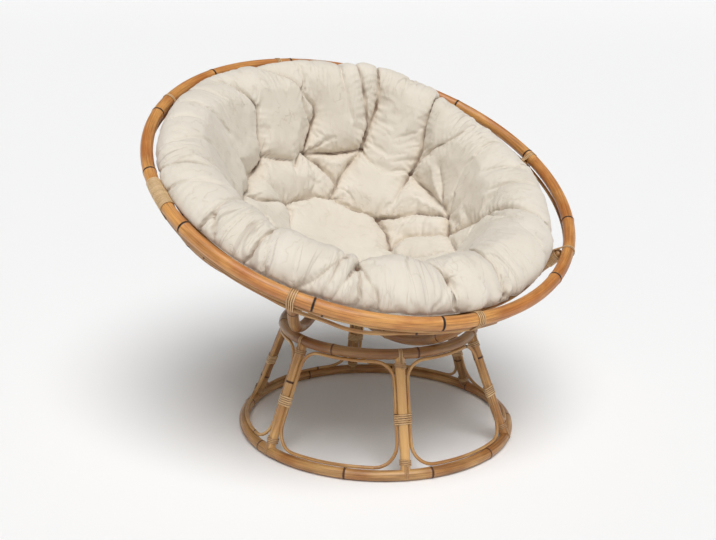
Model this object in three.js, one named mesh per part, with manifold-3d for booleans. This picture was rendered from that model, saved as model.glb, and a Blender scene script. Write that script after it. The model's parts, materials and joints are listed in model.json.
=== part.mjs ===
// A round cane lounge chair: a ring stand of six legs, a dished cane bowl that rests in it and a tufted
// round cushion that lies in the bowl. Millimetres, +Z up, the chair faces -Y. The origin is on the
// floor, straight below the middle of the bowl's rim.
import * as THREE from "three";
import { mergeVertices } from "three/addons/utils/BufferGeometryUtils.js";
import Module from "manifold-3d";

const wasm = await Module();
wasm.setup();

// Stand: two rings joined by legs, with a thin cane loop in each window.
const baseRingRadius = 335.5;
const baseRodRadius = 12.5;
const topRingRadius = 235.5;
const topRodRadius = 12.5;
const topRingHeight = 266;
const legCount = 6;
const legRadius = 11.5;
const legEndInset = 4;
const firstLegAngle = THREE.MathUtils.degToRad(-18.3);
const loopRodRadius = 4;
const loopLowCornerRadius = 55;
const loopHighCornerRadius = 42;

// Bowl: a rim, ribs on a sphere, a small bottom ring and two thin rods that clasp the ribs.
const rimRadius = 533;
const rimRodRadius = 15;
const rimPolar = THREE.MathUtils.degToRad(70.14);
const bowlTilt = THREE.MathUtils.degToRad(26.5);
const ribInset = 11.7;
const ribRodRadius = 13;
const ribCount = 8;
const firstRibAngle = THREE.MathUtils.degToRad(2);
const hubRingRadius = 124;
const hubRodRadius = 12;
const ribEndGap = 0.5;
const innerRodRadius = 4.5;
const innerRodBelowRim = 40.7;
const outerRodRadius = 4.5;
const outerRodBelowRim = 20.4;
const outerRodStartAngle = THREE.MathUtils.degToRad(279.5);
const outerRodLap = THREE.MathUtils.degToRad(90);
const outerRodDrop = 13;

// Lashings: flat peeled cane wound on the joints.
const peelThickness = 1.2;
const peelGap = 0.5;
const midPeelWidth = 4.6;
const midPeelPitch = 6;
const midTurns = 4;
const midLashingHeight = 124;
const legPeelWidth = 5;
const legPeelPitch = 6.2;
const legPeelTurns = 2;
const legPeelNear = 21;
const legPeelFar = 37;
const floorClearance = 2.5;
const rimPeelWidth = 3.6;
const rimPeelPitch = 4.6;
const rimPeelPasses = 3;
const splicePeelWidth = 7.8;
const splicePeelPitch = 9.4;
const splicePasses = 10;
const splicePeelGap = 1.2;
const spliceRibIndex = 4;

// Cushion: a thick dished round pad. Its lobes swell between the sewn points, the seams that join them and
// the pleats over its edge.
const cushionSeatGap = 0.9;
const cushionStepBack = 13.5;
const cushionEdgeRadius = 61;
const cushionEdgeInset = 97;
const cushionEdgeAboveRim = 4;
const cushionShiftLeft = 11;
const cushionShiftBack = 17;
const tuftLayerThickness = 110;
const lobeHeight = 38;
const lobeSwell = 5;
const lobeLean = 1;
const tuftSpread = 32;
const seamSpread = 26;
const pleatSpread = 24;
const pleatDepth = 22;
const pleatStartShare = 0.6;
const pleatFullShare = 0.9;
const seamDepthShare = 0.85;
const crownEase = 14;
// Sewn points, as shares of a turn round the bowl and of the way from the middle to the edge's top.
const tuftShares = [
  [0.08, 0.27], [0.26, 0.56], [0.167, 0.6], [0.083, 0.58], [0.978, 0.54], [0.939, 0.51], [0.215, 0.31],
  [0.361, 0.35], [0.336, 0.6], [0.389, 0.57], [0.936, 0.24], [0.478, 0.61], [0.569, 0.63], [0.644, 0.62],
  [0.694, 0.64], [0.753, 0.63], [0.822, 0.62], [0.883, 0.57], [0.542, 0.34], [0.728, 0.28], [0.847, 0.3],
];
// Pairs of sewn points, by their places in the list above.
const seams = [
  [8, 1], [1, 6], [2, 6], [1, 2], [7, 6], [6, 0], [7, 18], [0, 10], [0, 4], [3, 0], [3, 4], [4, 5], [5, 10],
  [9, 8], [9, 11], [9, 7], [11, 12], [12, 13], [13, 14], [14, 15], [15, 16], [16, 17], [17, 5], [18, 19],
  [19, 20], [20, 10], [18, 12], [19, 14], [20, 17],
];
// Pleats over the edge, as shares of a turn.
const pleatShares = [
  0.0, 0.0833, 0.1667, 0.25, 0.3333, 0.3958, 0.4792, 0.5625, 0.625, 0.6875, 0.75, 0.7917, 0.875,
];

// Clearances between touching pieces.
const jointGap = 0.3;
const rodGap = 0.6;
const bowlSeatGap = 0.45;

// Mesh counts.
const thickSides = 10;
const mediumSides = 8;
const thinSides = 6;
const baseRingSteps = 48;
const topRingSteps = 48;
const rimSteps = 56;
const thinRingSteps = 56;
const outerRodSteps = 60;
const hubRingSteps = 24;
const ribSteps = 12;
const loopCornerSteps = 4;
const loopLowSteps = 5;
const loopHighSteps = 4;
const turnSteps = 8;
const turnStep = (2 * Math.PI) / turnSteps;
const thinTurnStep = Math.PI / 3;
const clusterLegStep = Math.PI / 6;
const rimTurnSteps = 4;
const rimTurnStep = Math.PI / 4;
const outerRodSpanShare = 1 / 4;
const cushionSteps = 48;

const caneColour = 0xb9834a;
const rimColour = 0xc07f45;
const thinCaneColour = 0xc79a62;
const peelColour = 0xd9b98a;
const cushionColour = 0xded3c4;

const legLength = Math.hypot(baseRingRadius - topRingRadius, topRingHeight - baseRodHeight());
const rimBelowCentre = rimRadius / Math.tan(rimPolar);
const ribSphereRadius = rimRadius / Math.sin(rimPolar) - ribInset;
const bowlCentreDistance = ribSphereRadius + ribRodRadius + bowlSeatGap + topRodRadius;
const bowlCentreHeight = topRingHeight + Math.sqrt(bowlCentreDistance ** 2 - topRingRadius ** 2);
const innerRodSphereRadius = ribSphereRadius - ribRodRadius - rodGap - innerRodRadius;
const outerRodSphereRadius = ribSphereRadius + ribRodRadius + rodGap + outerRodRadius;
const innerRodPolar = rimPolar - innerRodBelowRim / innerRodSphereRadius;
const outerRodHighPolar = rimPolar - outerRodBelowRim / outerRodSphereRadius;
const loopOffset = legRadius + rodGap + loopRodRadius;

// The lowest facet of the base ring lies flat on the floor.
function baseRodHeight() {
  return baseRodRadius * Math.cos(Math.PI / thickSides);
}

function cane(colour) {
  return new THREE.MeshStandardMaterial({ color: colour, roughness: 0.55, metalness: 0 });
}

const materials = {
  cane: cane(caneColour),
  rim: cane(rimColour),
  thin: cane(thinCaneColour),
  peel: new THREE.MeshStandardMaterial({ color: peelColour, roughness: 0.6, metalness: 0 }),
  cushion: new THREE.MeshStandardMaterial({ color: cushionColour, roughness: 0.95, metalness: 0 }),
};

function addMesh(group, name, geometry, material) {
  const mesh = new THREE.Mesh(geometry, material);
  mesh.name = name;
  group.add(mesh);
  return mesh;
}

// Closed meshes to solids and back, for the coped ends of the rods.
function solidOf(geometry) {
  const bare = geometry.clone();
  bare.deleteAttribute("normal");
  bare.deleteAttribute("uv");
  const merged = mergeVertices(bare);
  const mesh = new wasm.Mesh({
    numProp: 3,
    vertProperties: merged.attributes.position.array,
    triVerts: new Uint32Array(merged.index.array),
  });
  return new wasm.Manifold(mesh);
}

function geometryOf(solid) {
  const mesh = solid.getMesh();
  const geometry = new THREE.BufferGeometry();
  geometry.setAttribute("position", new THREE.BufferAttribute(mesh.vertProperties, mesh.numProp));
  geometry.setIndex(new THREE.BufferAttribute(mesh.triVerts, 1));
  geometry.computeVertexNormals();
  return geometry;
}

function cutBy(geometry, cutters) {
  let solid = solidOf(geometry);
  for (const cutter of cutters) solid = solid.subtract(solidOf(cutter));
  return geometryOf(solid);
}

function ringGeometry(radius, rodRadius, sides, steps, height, startAngle) {
  const ring = new THREE.TorusGeometry(radius, rodRadius, sides, steps);
  ring.rotateZ(startAngle);
  ring.translate(0, 0, height);
  return ring;
}

// A path sampled at even shares of its own parameter.
class EvenPath extends THREE.Curve {
  constructor(pointAt) {
    super();
    this.pointAt = pointAt;
  }
  getPoint(share) {
    return this.pointAt(share);
  }
  getUtoTmapping(share) {
    return share;
  }
}

function rodGeometry(path, rodRadius, sides, steps) {
  const section = new THREE.Shape();
  section.absarc(0, 0, rodRadius, 0, 2 * Math.PI);
  return new THREE.ExtrudeGeometry(section, {
    steps,
    curveSegments: sides / 2,
    extrudePath: path,
    bevelEnabled: false,
  });
}

// A flat strip that follows the stations; each one has a point and the direction away from what it wraps.
function ribbonGeometry(stations, width) {
  const positions = [];
  const index = [];
  const last = stations.length - 1;
  stations.forEach(({ point, out }, i) => {
    const arrive = new THREE.Vector3().subVectors(point, stations[Math.max(i - 1, 0)].point);
    const leave = new THREE.Vector3().subVectors(stations[Math.min(i + 1, last)].point, point);
    if (i === 0) arrive.copy(leave);
    if (i === last) leave.copy(arrive);
    arrive.normalize();
    leave.normalize();
    const along = new THREE.Vector3().addVectors(arrive, leave).normalize();
    const across = new THREE.Vector3().crossVectors(along, out).normalize();
    const up = new THREE.Vector3().crossVectors(across, along).normalize();
    const turnAcross = Math.cos(Math.atan2(arrive.dot(across), arrive.dot(along)));
    const turnUp = Math.cos(Math.atan2(arrive.dot(up), arrive.dot(along)));
    const side = across.multiplyScalar(width / 2 / turnAcross);
    const rise = up.multiplyScalar(peelThickness / turnUp);
    for (const [sideShare, riseShare] of [[-1, 0], [1, 0], [1, 1], [-1, 1]]) {
      const corner = point.clone().addScaledVector(side, sideShare).addScaledVector(rise, riseShare);
      positions.push(corner.x, corner.y, corner.z);
    }
    if (i === last) return;
    for (let j = 0; j < 4; j++) {
      const a = 4 * i + j;
      const b = 4 * i + ((j + 1) % 4);
      index.push(a, b + 4, b, a, a + 4, b + 4);
    }
  });
  const end = 4 * last;
  index.push(0, 1, 2, 0, 2, 3, end, end + 2, end + 1, end, end + 3, end + 2);
  const geometry = new THREE.BufferGeometry();
  geometry.setAttribute("position", new THREE.Float32BufferAttribute(positions, 3));
  geometry.setIndex(index);
  geometry.computeVertexNormals();
  return geometry;
}

// Prints the least gap between two turns of one strip, measured from the points of its edges.
function printStripGap(name, geometry, turnLength) {
  const corners = geometry.getAttribute("position");
  const edges = [];
  for (let i = 0; i + 4 < corners.count; i++) {
    const from = new THREE.Vector3().fromBufferAttribute(corners, i);
    const to = new THREE.Vector3().fromBufferAttribute(corners, i + 4);
    edges.push(new THREE.Line3(from, to));
  }
  const places = [0];
  for (let i = 0; i < edges.length; i += 4) places.push(places.at(-1) + edges[i].distance());
  let least = Infinity;
  const nearest = new THREE.Vector3();
  edges.forEach((edge, i) => {
    edges.slice(i).forEach((other, j) => {
      const apart = places[Math.floor((i + j) / 4)] - places[Math.floor(i / 4) + 1];
      if (apart < turnLength / 2) return;
      for (const end of [edge.start, edge.end]) {
        least = Math.min(least, other.closestPointToPoint(end, true, nearest).distanceTo(end));
      }
      for (const end of [other.start, other.end]) {
        least = Math.min(least, edge.closestPointToPoint(end, true, nearest).distanceTo(end));
      }
    });
  });
  console.log(`${name}, least gap to itself: ${least.toFixed(2)} mm`);
}

// The radius that a strip's corners need so that its straight steps clear a round rod.
function windingRadius(rodRadius, stepAngle, gap = peelGap) {
  return (rodRadius + gap) / Math.cos(stepAngle / 2);
}

// Stand.
const stand = new THREE.Group();

function legDirection(angle) {
  return new THREE.Vector3(Math.sin(angle), -Math.cos(angle), 0);
}

// A point of the cone between the rings, at a distance up the slope from the base ring's centre line.
function conePoint(angle, distance) {
  const share = distance / legLength;
  const radius = THREE.MathUtils.lerp(baseRingRadius, topRingRadius, share);
  const height = THREE.MathUtils.lerp(baseRodHeight(), topRingHeight, share);
  return legDirection(angle).multiplyScalar(radius).setZ(height);
}

function coneRadius(distance) {
  return THREE.MathUtils.lerp(baseRingRadius, topRingRadius, distance / legLength);
}

// The leg's own frame: Z up the leg from the base ring's centre line, -Y away from the chair.
function legFrame(angle) {
  const across = new THREE.Vector3(Math.cos(angle), Math.sin(angle), 0);
  const up = conePoint(angle, legLength).sub(conePoint(angle, 0)).normalize();
  const inward = new THREE.Vector3().crossVectors(up, across);
  return new THREE.Matrix4().makeBasis(across, inward, up).setPosition(conePoint(angle, 0));
}

function baseRing(extra) {
  return ringGeometry(baseRingRadius, baseRodRadius + extra, thickSides, baseRingSteps, baseRodHeight(), 0);
}

function topRing(extra) {
  return ringGeometry(topRingRadius, topRodRadius + extra, thickSides, topRingSteps, topRingHeight, 0);
}

function legGeometry(angle) {
  const leg = new THREE.CylinderGeometry(legRadius, legRadius, legLength - 2 * legEndInset, thickSides);
  leg.rotateX(Math.PI / 2);
  leg.translate(0, 0, legLength / 2);
  leg.applyMatrix4(legFrame(angle));
  return cutBy(leg, [baseRing(jointGap), topRing(jointGap)]);
}

// One closed loop of thin rod inside the window between two legs.
function loopGeometry(middleAngle) {
  const low = baseRodRadius + rodGap + loopRodRadius;
  const high = legLength - topRodRadius - rodGap - loopRodRadius;
  const halfWindow = Math.PI / legCount;
  const points = [];
  const sideAngle = (distance, inset) => halfWindow - Math.asin((loopOffset + inset) / coneRadius(distance));
  const place = (side, distance, inset) => {
    points.push(conePoint(middleAngle + side * sideAngle(distance, inset), distance));
  };
  const corner = (side, radius, level, direction, rising) => {
    for (let i = 0; i <= loopCornerSteps; i++) {
      const share = rising ? i / loopCornerSteps : 1 - i / loopCornerSteps;
      const turn = (share * Math.PI) / 2;
      place(side, level + direction * radius * (1 - Math.sin(turn)), radius * (1 - Math.cos(turn)));
    }
  };
  const edge = (level, radius, steps, from) => {
    for (let i = 1; i < steps; i++) {
      const share = from * (1 - (2 * i) / steps);
      points.push(conePoint(middleAngle + share * sideAngle(level, radius), level));
    }
  };
  corner(1, loopLowCornerRadius, low, 1, false);
  corner(1, loopHighCornerRadius, high, -1, true);
  edge(high, loopHighCornerRadius, loopHighSteps, 1);
  corner(-1, loopHighCornerRadius, high, -1, false);
  corner(-1, loopLowCornerRadius, low, 1, true);
  edge(low, loopLowCornerRadius, loopLowSteps, -1);
  const smooth = new THREE.CatmullRomCurve3(points, true);
  const path = new EvenPath((share) => smooth.getPoint(share));
  return new THREE.TubeGeometry(path, points.length, loopRodRadius, thinSides, true);
}

// The taut outline round a leg and the two loop rods beside it, with points only where it bends.
function clusterOutline() {
  const legWrap = windingRadius(legRadius, clusterLegStep);
  const rodWrap = windingRadius(loopRodRadius, thinTurnStep);
  const tangent = Math.acos((legWrap - rodWrap) / loopOffset);
  const outline = [];
  const put = (centre, radius, angle) => {
    const out = new THREE.Vector3(Math.cos(angle), Math.sin(angle), 0);
    outline.push({ point: out.clone().multiplyScalar(radius).setX(centre + radius * out.x), out });
  };
  for (const side of [0, Math.PI]) {
    const centre = Math.cos(side) * loopOffset;
    for (const angle of [side - tangent, side, side + tangent]) put(centre, rodWrap, angle);
    const next = side + Math.PI / 2;
    const reach = Math.PI / 2 - tangent;
    for (const angle of [next - reach, next, next + reach]) put(0, legWrap, angle);
  }
  return outline;
}

function midLashingGeometry() {
  const outline = clusterOutline();
  const stations = [];
  const steps = midTurns * outline.length;
  for (let i = 0; i <= steps; i++) {
    const { point, out } = outline[i % outline.length];
    const height = midLashingHeight + midPeelPitch * (i / outline.length - midTurns / 2);
    stations.push({ point: point.clone().setZ(height), out });
  }
  return ribbonGeometry(stations, midPeelWidth);
}

// A strap over the ring beside a leg's end, which then winds round the leg and over its own tail. It is
// made with the ring's centre line at zero and the leg running up +Z.
function endLashingGeometry(ringRodRadius, strapStart, strapEnd) {
  const stations = [];
  const ringWrap = windingRadius(ringRodRadius, turnStep);
  const strapSteps = Math.ceil(Math.abs(strapEnd - strapStart) / turnStep);
  for (let i = 0; i <= strapSteps; i++) {
    const angle = THREE.MathUtils.lerp(strapStart, strapEnd, i / strapSteps);
    const out = new THREE.Vector3(0, -Math.cos(angle), Math.sin(angle));
    stations.push({ point: out.clone().multiplyScalar(ringWrap), out });
  }
  const away = new THREE.Vector3(0, -1, 0);
  const tail = legRadius + peelGap;
  stations.push({ point: new THREE.Vector3(0, -tail, legPeelNear), out: away });
  stations.push({ point: new THREE.Vector3(0, -tail, legPeelFar), out: away });
  const windRadius = windingRadius(legRadius + peelGap + peelThickness, turnStep);
  const steps = legPeelTurns * turnSteps;
  for (let i = 1; i <= steps; i++) {
    const angle = i * turnStep;
    const out = new THREE.Vector3(Math.sin(angle), -Math.cos(angle), 0);
    const height = legPeelFar - (legPeelPitch * i) / turnSteps;
    stations.push({ point: out.clone().multiplyScalar(windRadius).setZ(height), out });
  }
  return ribbonGeometry(stations, legPeelWidth);
}

// The base strap stops clear of the floor, and the top strap clear of the bowl that rests on its ring.
const strapFloorReach = baseRodRadius + peelThickness;
const baseStrapStart = legSlope() - Math.asin((baseRodHeight() - floorClearance) / strapFloorReach);
const strapBowlReach = windingRadius(topRodRadius, turnStep) + peelThickness;
const bowlContactAngle = Math.PI / 2 + Math.asin(topRingRadius / bowlCentreDistance) - legSlope();
const topStrapStart = Math.acos(topRodRadius / strapBowlReach) - bowlContactAngle;
const strapEndAngle = turnStep / 2;

// The angle by which a leg leans in from upright.
function legSlope() {
  return Math.atan2(baseRingRadius - topRingRadius, topRingHeight - baseRodHeight());
}

addMesh(stand, "base_bottom_ring", baseRing(0), materials.cane);
addMesh(stand, "base_top_ring", topRing(0), materials.cane);
for (let i = 0; i < legCount; i++) {
  const angle = firstLegAngle + (2 * Math.PI * i) / legCount;
  const number = i + 1;
  addMesh(stand, `base_leg_${number}`, legGeometry(angle), materials.cane);
  addMesh(stand, `base_loop_${number}`, loopGeometry(angle + Math.PI / legCount), materials.thin);
  const frame = new THREE.Group();
  frame.applyMatrix4(legFrame(angle));
  stand.add(frame);
  addMesh(frame, `leg_mid_lashing_${number}`, midLashingGeometry(), materials.peel);
  const baseLashing = endLashingGeometry(baseRodRadius, baseStrapStart, strapEndAngle);
  addMesh(frame, `leg_base_lashing_${number}`, baseLashing, materials.peel);
  const topLashing = endLashingGeometry(topRodRadius, topStrapStart, strapEndAngle);
  const top = addMesh(frame, `leg_top_lashing_${number}`, topLashing, materials.peel);
  top.rotation.y = Math.PI;
  top.position.z = legLength;
}

// Bowl, in a frame with its origin at the sphere's centre and +Z out of the bowl's mouth.
const bowl = new THREE.Group();
bowl.position.z = bowlCentreHeight;
bowl.rotation.x = bowlTilt;

function spherePoint(radius, polar, angle) {
  const reach = radius * Math.sin(polar);
  return new THREE.Vector3(reach * Math.cos(angle), reach * Math.sin(angle), -radius * Math.cos(polar));
}

function rim() {
  return ringGeometry(rimRadius, rimRodRadius, thickSides, rimSteps, -rimBelowCentre, firstRibAngle);
}

const hubPolar = Math.asin(hubRingRadius / ribSphereRadius);

function hubRing(extra) {
  const height = -ribSphereRadius * Math.cos(hubPolar);
  return ringGeometry(hubRingRadius, hubRodRadius + extra, mediumSides, hubRingSteps, height, firstRibAngle);
}

// A rib is coped onto the bottom ring and ends square under the rim.
function ribGeometry(angle) {
  const endPolar = rimPolar - (rimRodRadius + ribEndGap) / ribSphereRadius;
  const path = new EvenPath((share) => {
    return spherePoint(ribSphereRadius, THREE.MathUtils.lerp(hubPolar, endPolar, share), angle);
  });
  const rib = rodGeometry(path, ribRodRadius, mediumSides, ribSteps);
  return cutBy(rib, [hubRing(jointGap)]);
}

function innerRod() {
  const radius = innerRodSphereRadius * Math.sin(innerRodPolar);
  const height = -innerRodSphereRadius * Math.cos(innerRodPolar);
  return ringGeometry(radius, innerRodRadius, thinSides, thinRingSteps, height, firstRibAngle);
}

// The outer rod is one length whose ends pass each other at the front left.
function outerRodPolar(turnShare) {
  return outerRodHighPolar - (outerRodDrop / outerRodSphereRadius) * (1 - turnShare);
}

const outerRodSweep = 2 * Math.PI + outerRodLap;

function outerRodPoint(share) {
  return spherePoint(outerRodSphereRadius, outerRodPolar(share), outerRodStartAngle - share * outerRodSweep);
}

function outerRod() {
  return rodGeometry(new EvenPath(outerRodPoint), outerRodRadius, thinSides, outerRodSteps);
}

// A point of the plane through the bowl's axis: x away from the axis, y along it.
function profilePoint(radius, polar) {
  return { x: radius * Math.sin(polar), y: -radius * Math.cos(polar) };
}

// The outline over the outer rod, the rim and the inner rod, in the same plane.
function rimOutline(gap) {
  const outerPolar = outerRodHighPolar - outerRodDrop / outerRodSphereRadius / 2;
  const disc = (radius, polar, rodRadius, stepAngle) => ({
    ...profilePoint(radius, polar),
    radius: windingRadius(rodRadius, stepAngle, gap),
  });
  const outerSpan = outerRodRadius + outerRodDrop * outerRodSpanShare;
  const outer = disc(outerRodSphereRadius, outerPolar, outerSpan, thinTurnStep);
  const inner = disc(innerRodSphereRadius, innerRodPolar, innerRodRadius, thinTurnStep);
  const top = { x: rimRadius, y: -rimBelowCentre, radius: windingRadius(rimRodRadius, rimTurnStep, gap) };
  const leaveOuter = outerTangent(outer, top, -1);
  const leaveInner = outerTangent(inner, top, 1);
  const outline = [];
  const put = (round, angle, facing) => outline.push({ ...round, angle, facing });
  put(outer, leaveOuter - thinTurnStep, leaveOuter - thinTurnStep / 2);
  put(outer, leaveOuter, leaveOuter);
  for (let i = 0; i <= rimTurnSteps; i++) {
    const angle = THREE.MathUtils.lerp(leaveOuter, leaveInner, i / rimTurnSteps);
    put(top, angle, angle);
  }
  put(inner, leaveInner, leaveInner);
  put(inner, leaveInner + thinTurnStep, leaveInner + thinTurnStep / 2);
  return outline;
}

// The direction of the outward normal of the line that touches both discs on one side.
function outerTangent(low, high, side) {
  const towards = Math.atan2(high.y - low.y, high.x - low.x);
  const distance = Math.hypot(high.x - low.x, high.y - low.y);
  return towards + side * Math.acos((low.radius - high.radius) / distance);
}

function rimLashingGeometry(angle, width, pitch, passes, gap) {
  const outline = rimOutline(gap);
  const stations = [];
  for (let pass = 0; pass < passes; pass++) {
    const turn = angle + (pitch * (pass - (passes - 1) / 2)) / rimRadius;
    const radial = new THREE.Vector3(Math.cos(turn), Math.sin(turn), 0);
    const order = pass % 2 ? [...outline].reverse() : outline;
    for (const { x, y, radius, angle: tip, facing } of order) {
      const point = radial.clone().multiplyScalar(x + radius * Math.cos(tip));
      point.z = y + radius * Math.sin(tip);
      const out = radial.clone().multiplyScalar(Math.cos(facing)).setZ(Math.sin(facing));
      stations.push({ point, out });
    }
  }
  return ribbonGeometry(stations, width);
}

// Prints the least gap between the outer rod's two ends, where they pass each other.
function printOuterRodGap() {
  const points = [];
  for (let i = 0; i <= outerRodSteps; i++) points.push(outerRodPoint(i / outerRodSteps));
  const halfTurnSteps = Math.floor((outerRodSteps * Math.PI) / outerRodSweep);
  let least = Infinity;
  points.forEach((point, i) => {
    for (const other of points.slice(i + halfTurnSteps)) least = Math.min(least, point.distanceTo(other));
  });
  console.log(`outer rod, least gap to itself: ${(least - 2 * outerRodRadius).toFixed(2)} mm`);
}

addMesh(bowl, "bowl_rim", rim(), materials.rim);
addMesh(bowl, "bowl_hub_ring", hubRing(0), materials.cane);
addMesh(bowl, "bowl_inner_rod", innerRod(), materials.thin);
addMesh(bowl, "bowl_outer_rod", outerRod(), materials.thin);
for (let i = 0; i < ribCount; i++) {
  const angle = firstRibAngle + (2 * Math.PI * i) / ribCount;
  const number = i + 1;
  addMesh(bowl, `bowl_rib_${number}`, ribGeometry(angle), materials.cane);
  const spliced = i === spliceRibIndex;
  const name = spliced ? "rim_splice_wrap" : `rim_lashing_${number}`;
  const width = spliced ? splicePeelWidth : rimPeelWidth;
  const pitch = spliced ? splicePeelPitch : rimPeelPitch;
  const passes = spliced ? splicePasses : rimPeelPasses;
  const gap = spliced ? splicePeelGap : peelGap;
  addMesh(bowl, name, rimLashingGeometry(angle, width, pitch, passes, gap), materials.peel);
}
printOuterRodGap();
const legTurn = 2 * Math.PI * legRadius;
const rimTurn = 2 * Math.PI * rimRodRadius;
printStripGap("leg_mid_lashing", midLashingGeometry(), legTurn);
printStripGap("leg_base_lashing", endLashingGeometry(baseRodRadius, baseStrapStart, strapEndAngle), legTurn);
printStripGap("leg_top_lashing", endLashingGeometry(topRodRadius, topStrapStart, strapEndAngle), legTurn);
const rimLashing = rimLashingGeometry(0, rimPeelWidth, rimPeelPitch, rimPeelPasses, peelGap);
const spliceWrap = rimLashingGeometry(0, splicePeelWidth, splicePeelPitch, splicePasses, splicePeelGap);
printStripGap("rim_lashing", rimLashing, rimTurn);
printStripGap("rim_splice_wrap", spliceWrap, rimTurn);

// Cushion, made in the bowl's frame as rows from the middle of its underside, round its edge and in over
// its top to the middle tuft. It rests on the ribs and on the strips round the inner rod.
const peelReach = windingRadius(innerRodRadius, thinTurnStep, splicePeelGap) + peelThickness;
const seatRadius = ribSphereRadius - ribRodRadius - cushionSeatGap;
const edgeSeatRadius = innerRodSphereRadius - peelReach - cushionSeatGap;
const edgeSeatPolar = innerRodPolar - cushionStepBack / innerRodSphereRadius;
const tuftSphereRadius = seatRadius - tuftLayerThickness;
const cushionEdgeCentreRadius = rimRadius - cushionEdgeInset;
const lashingFace = innerLashingFace();

// The flat inner face of the strips between the rim and the inner rod, as a direction towards the cushion
// and a reach along it that the cushion's edge keeps to.
function innerLashingFace() {
  const outline = rimOutline(splicePeelGap);
  const { x, y, radius, angle } = outline.at(-2);
  const normal = new THREE.Vector2(Math.cos(angle), Math.sin(angle));
  return { normal, reach: normal.x * x + normal.y * y + radius + peelThickness + cushionSeatGap };
}

// A place of the cushion's top laid out flat, for a share of a turn and of the way to the edge's top.
function flatPlace(turnShare, edgeShare) {
  const angle = 2 * Math.PI * turnShare;
  const reach = edgeShare * flatReach;
  return new THREE.Vector3(reach * Math.cos(angle), reach * Math.sin(angle), 0);
}

const edgeTopBelowCentre = rimBelowCentre - cushionEdgeRadius;
const flatReach = tuftSphereRadius * Math.atan2(cushionEdgeCentreRadius, edgeTopBelowCentre);
const tuftPlaces = tuftShares.map(([turnShare, edgeShare]) => flatPlace(turnShare, edgeShare));
const seamLines = seams.map(([from, to]) => new THREE.Line3(tuftPlaces[from], tuftPlaces[to]));

// The angle between two directions round the bowl.
function angleBetween(first, second) {
  const ahead = THREE.MathUtils.euclideanModulo(first - second, 2 * Math.PI);
  return Math.min(ahead, 2 * Math.PI - ahead);
}

// How far the pleats draw the cushion's edge in at an angle.
function pleatDepthAt(angle) {
  const nearness = pleatShares.map((share) => {
    const away = angleBetween(angle, 2 * Math.PI * share) * cushionEdgeCentreRadius;
    return Math.exp(-away / pleatSpread);
  });
  return pleatDepth * Math.max(...nearness);
}

// How far the cloth is drawn down from a lobe's top, at a share of the way from the middle to the edge.
function drawnDepth(angle, share) {
  const place = flatPlace(angle / (2 * Math.PI), share);
  const nearest = new THREE.Vector3();
  const tufts = tuftPlaces.map((tuft) => Math.exp(-place.distanceTo(tuft) / tuftSpread));
  const drawn = seamLines.map((line) => {
    const away = line.closestPointToPoint(place, true, nearest).distanceTo(place);
    return seamDepthShare * Math.exp(-away / seamSpread);
  });
  const inner = lobeHeight * Math.max(...tufts, ...drawn) * (1 - share ** crownEase);
  const pleated = pleatDepthAt(angle) * THREE.MathUtils.smoothstep(share, pleatStartShare, pleatFullShare);
  return Math.max(inner, pleated);
}

function edgeCentre(angle) {
  const shift = cushionShiftBack * Math.sin(angle) - cushionShiftLeft * Math.cos(angle);
  return new THREE.Vector2(cushionEdgeCentreRadius + shift, cushionEdgeAboveRim - rimBelowCentre);
}

// The edge's outline in the plane through the bowl's axis, kept clear of the inner rod and its lashings.
function edgePoint(angle, turn) {
  const lobe = (lobeSwell - pleatDepthAt(angle)) * Math.max(Math.sin(turn + lobeLean), 0);
  const reach = cushionEdgeRadius + lobe;
  const point = edgeCentre(angle);
  point.x += reach * Math.cos(turn);
  point.y += reach * Math.sin(turn);
  if (turn < 0 && point.length() > edgeSeatRadius) point.setLength(edgeSeatRadius);
  const short = Math.max(lashingFace.reach - point.dot(lashingFace.normal), 0);
  return point.addScaledVector(lashingFace.normal, short);
}

function topPoint(angle, share) {
  const edge = edgePoint(angle, Math.PI / 2);
  const polar = share * Math.atan2(edge.x, -edge.y);
  const swell = THREE.MathUtils.lerp(tuftSphereRadius - lobeHeight, edge.length(), share ** crownEase);
  const radius = swell + drawnDepth(angle, share);
  return new THREE.Vector2(radius * Math.sin(polar), -radius * Math.cos(polar));
}

function underPoint(polar, radius) {
  return new THREE.Vector2(radius * Math.sin(polar), -radius * Math.cos(polar));
}

const underShares = [0.22, 0.44, 0.65, 0.85, 0.97];
const edgeTurns = [-1.1, -0.5, 0.1, 0.65, 1.15];
const topRowShares = [0.97, 0.93, 0.86, 0.78, 0.7, 0.62, 0.53, 0.44, 0.35, 0.27, 0.18, 0.09];

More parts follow.
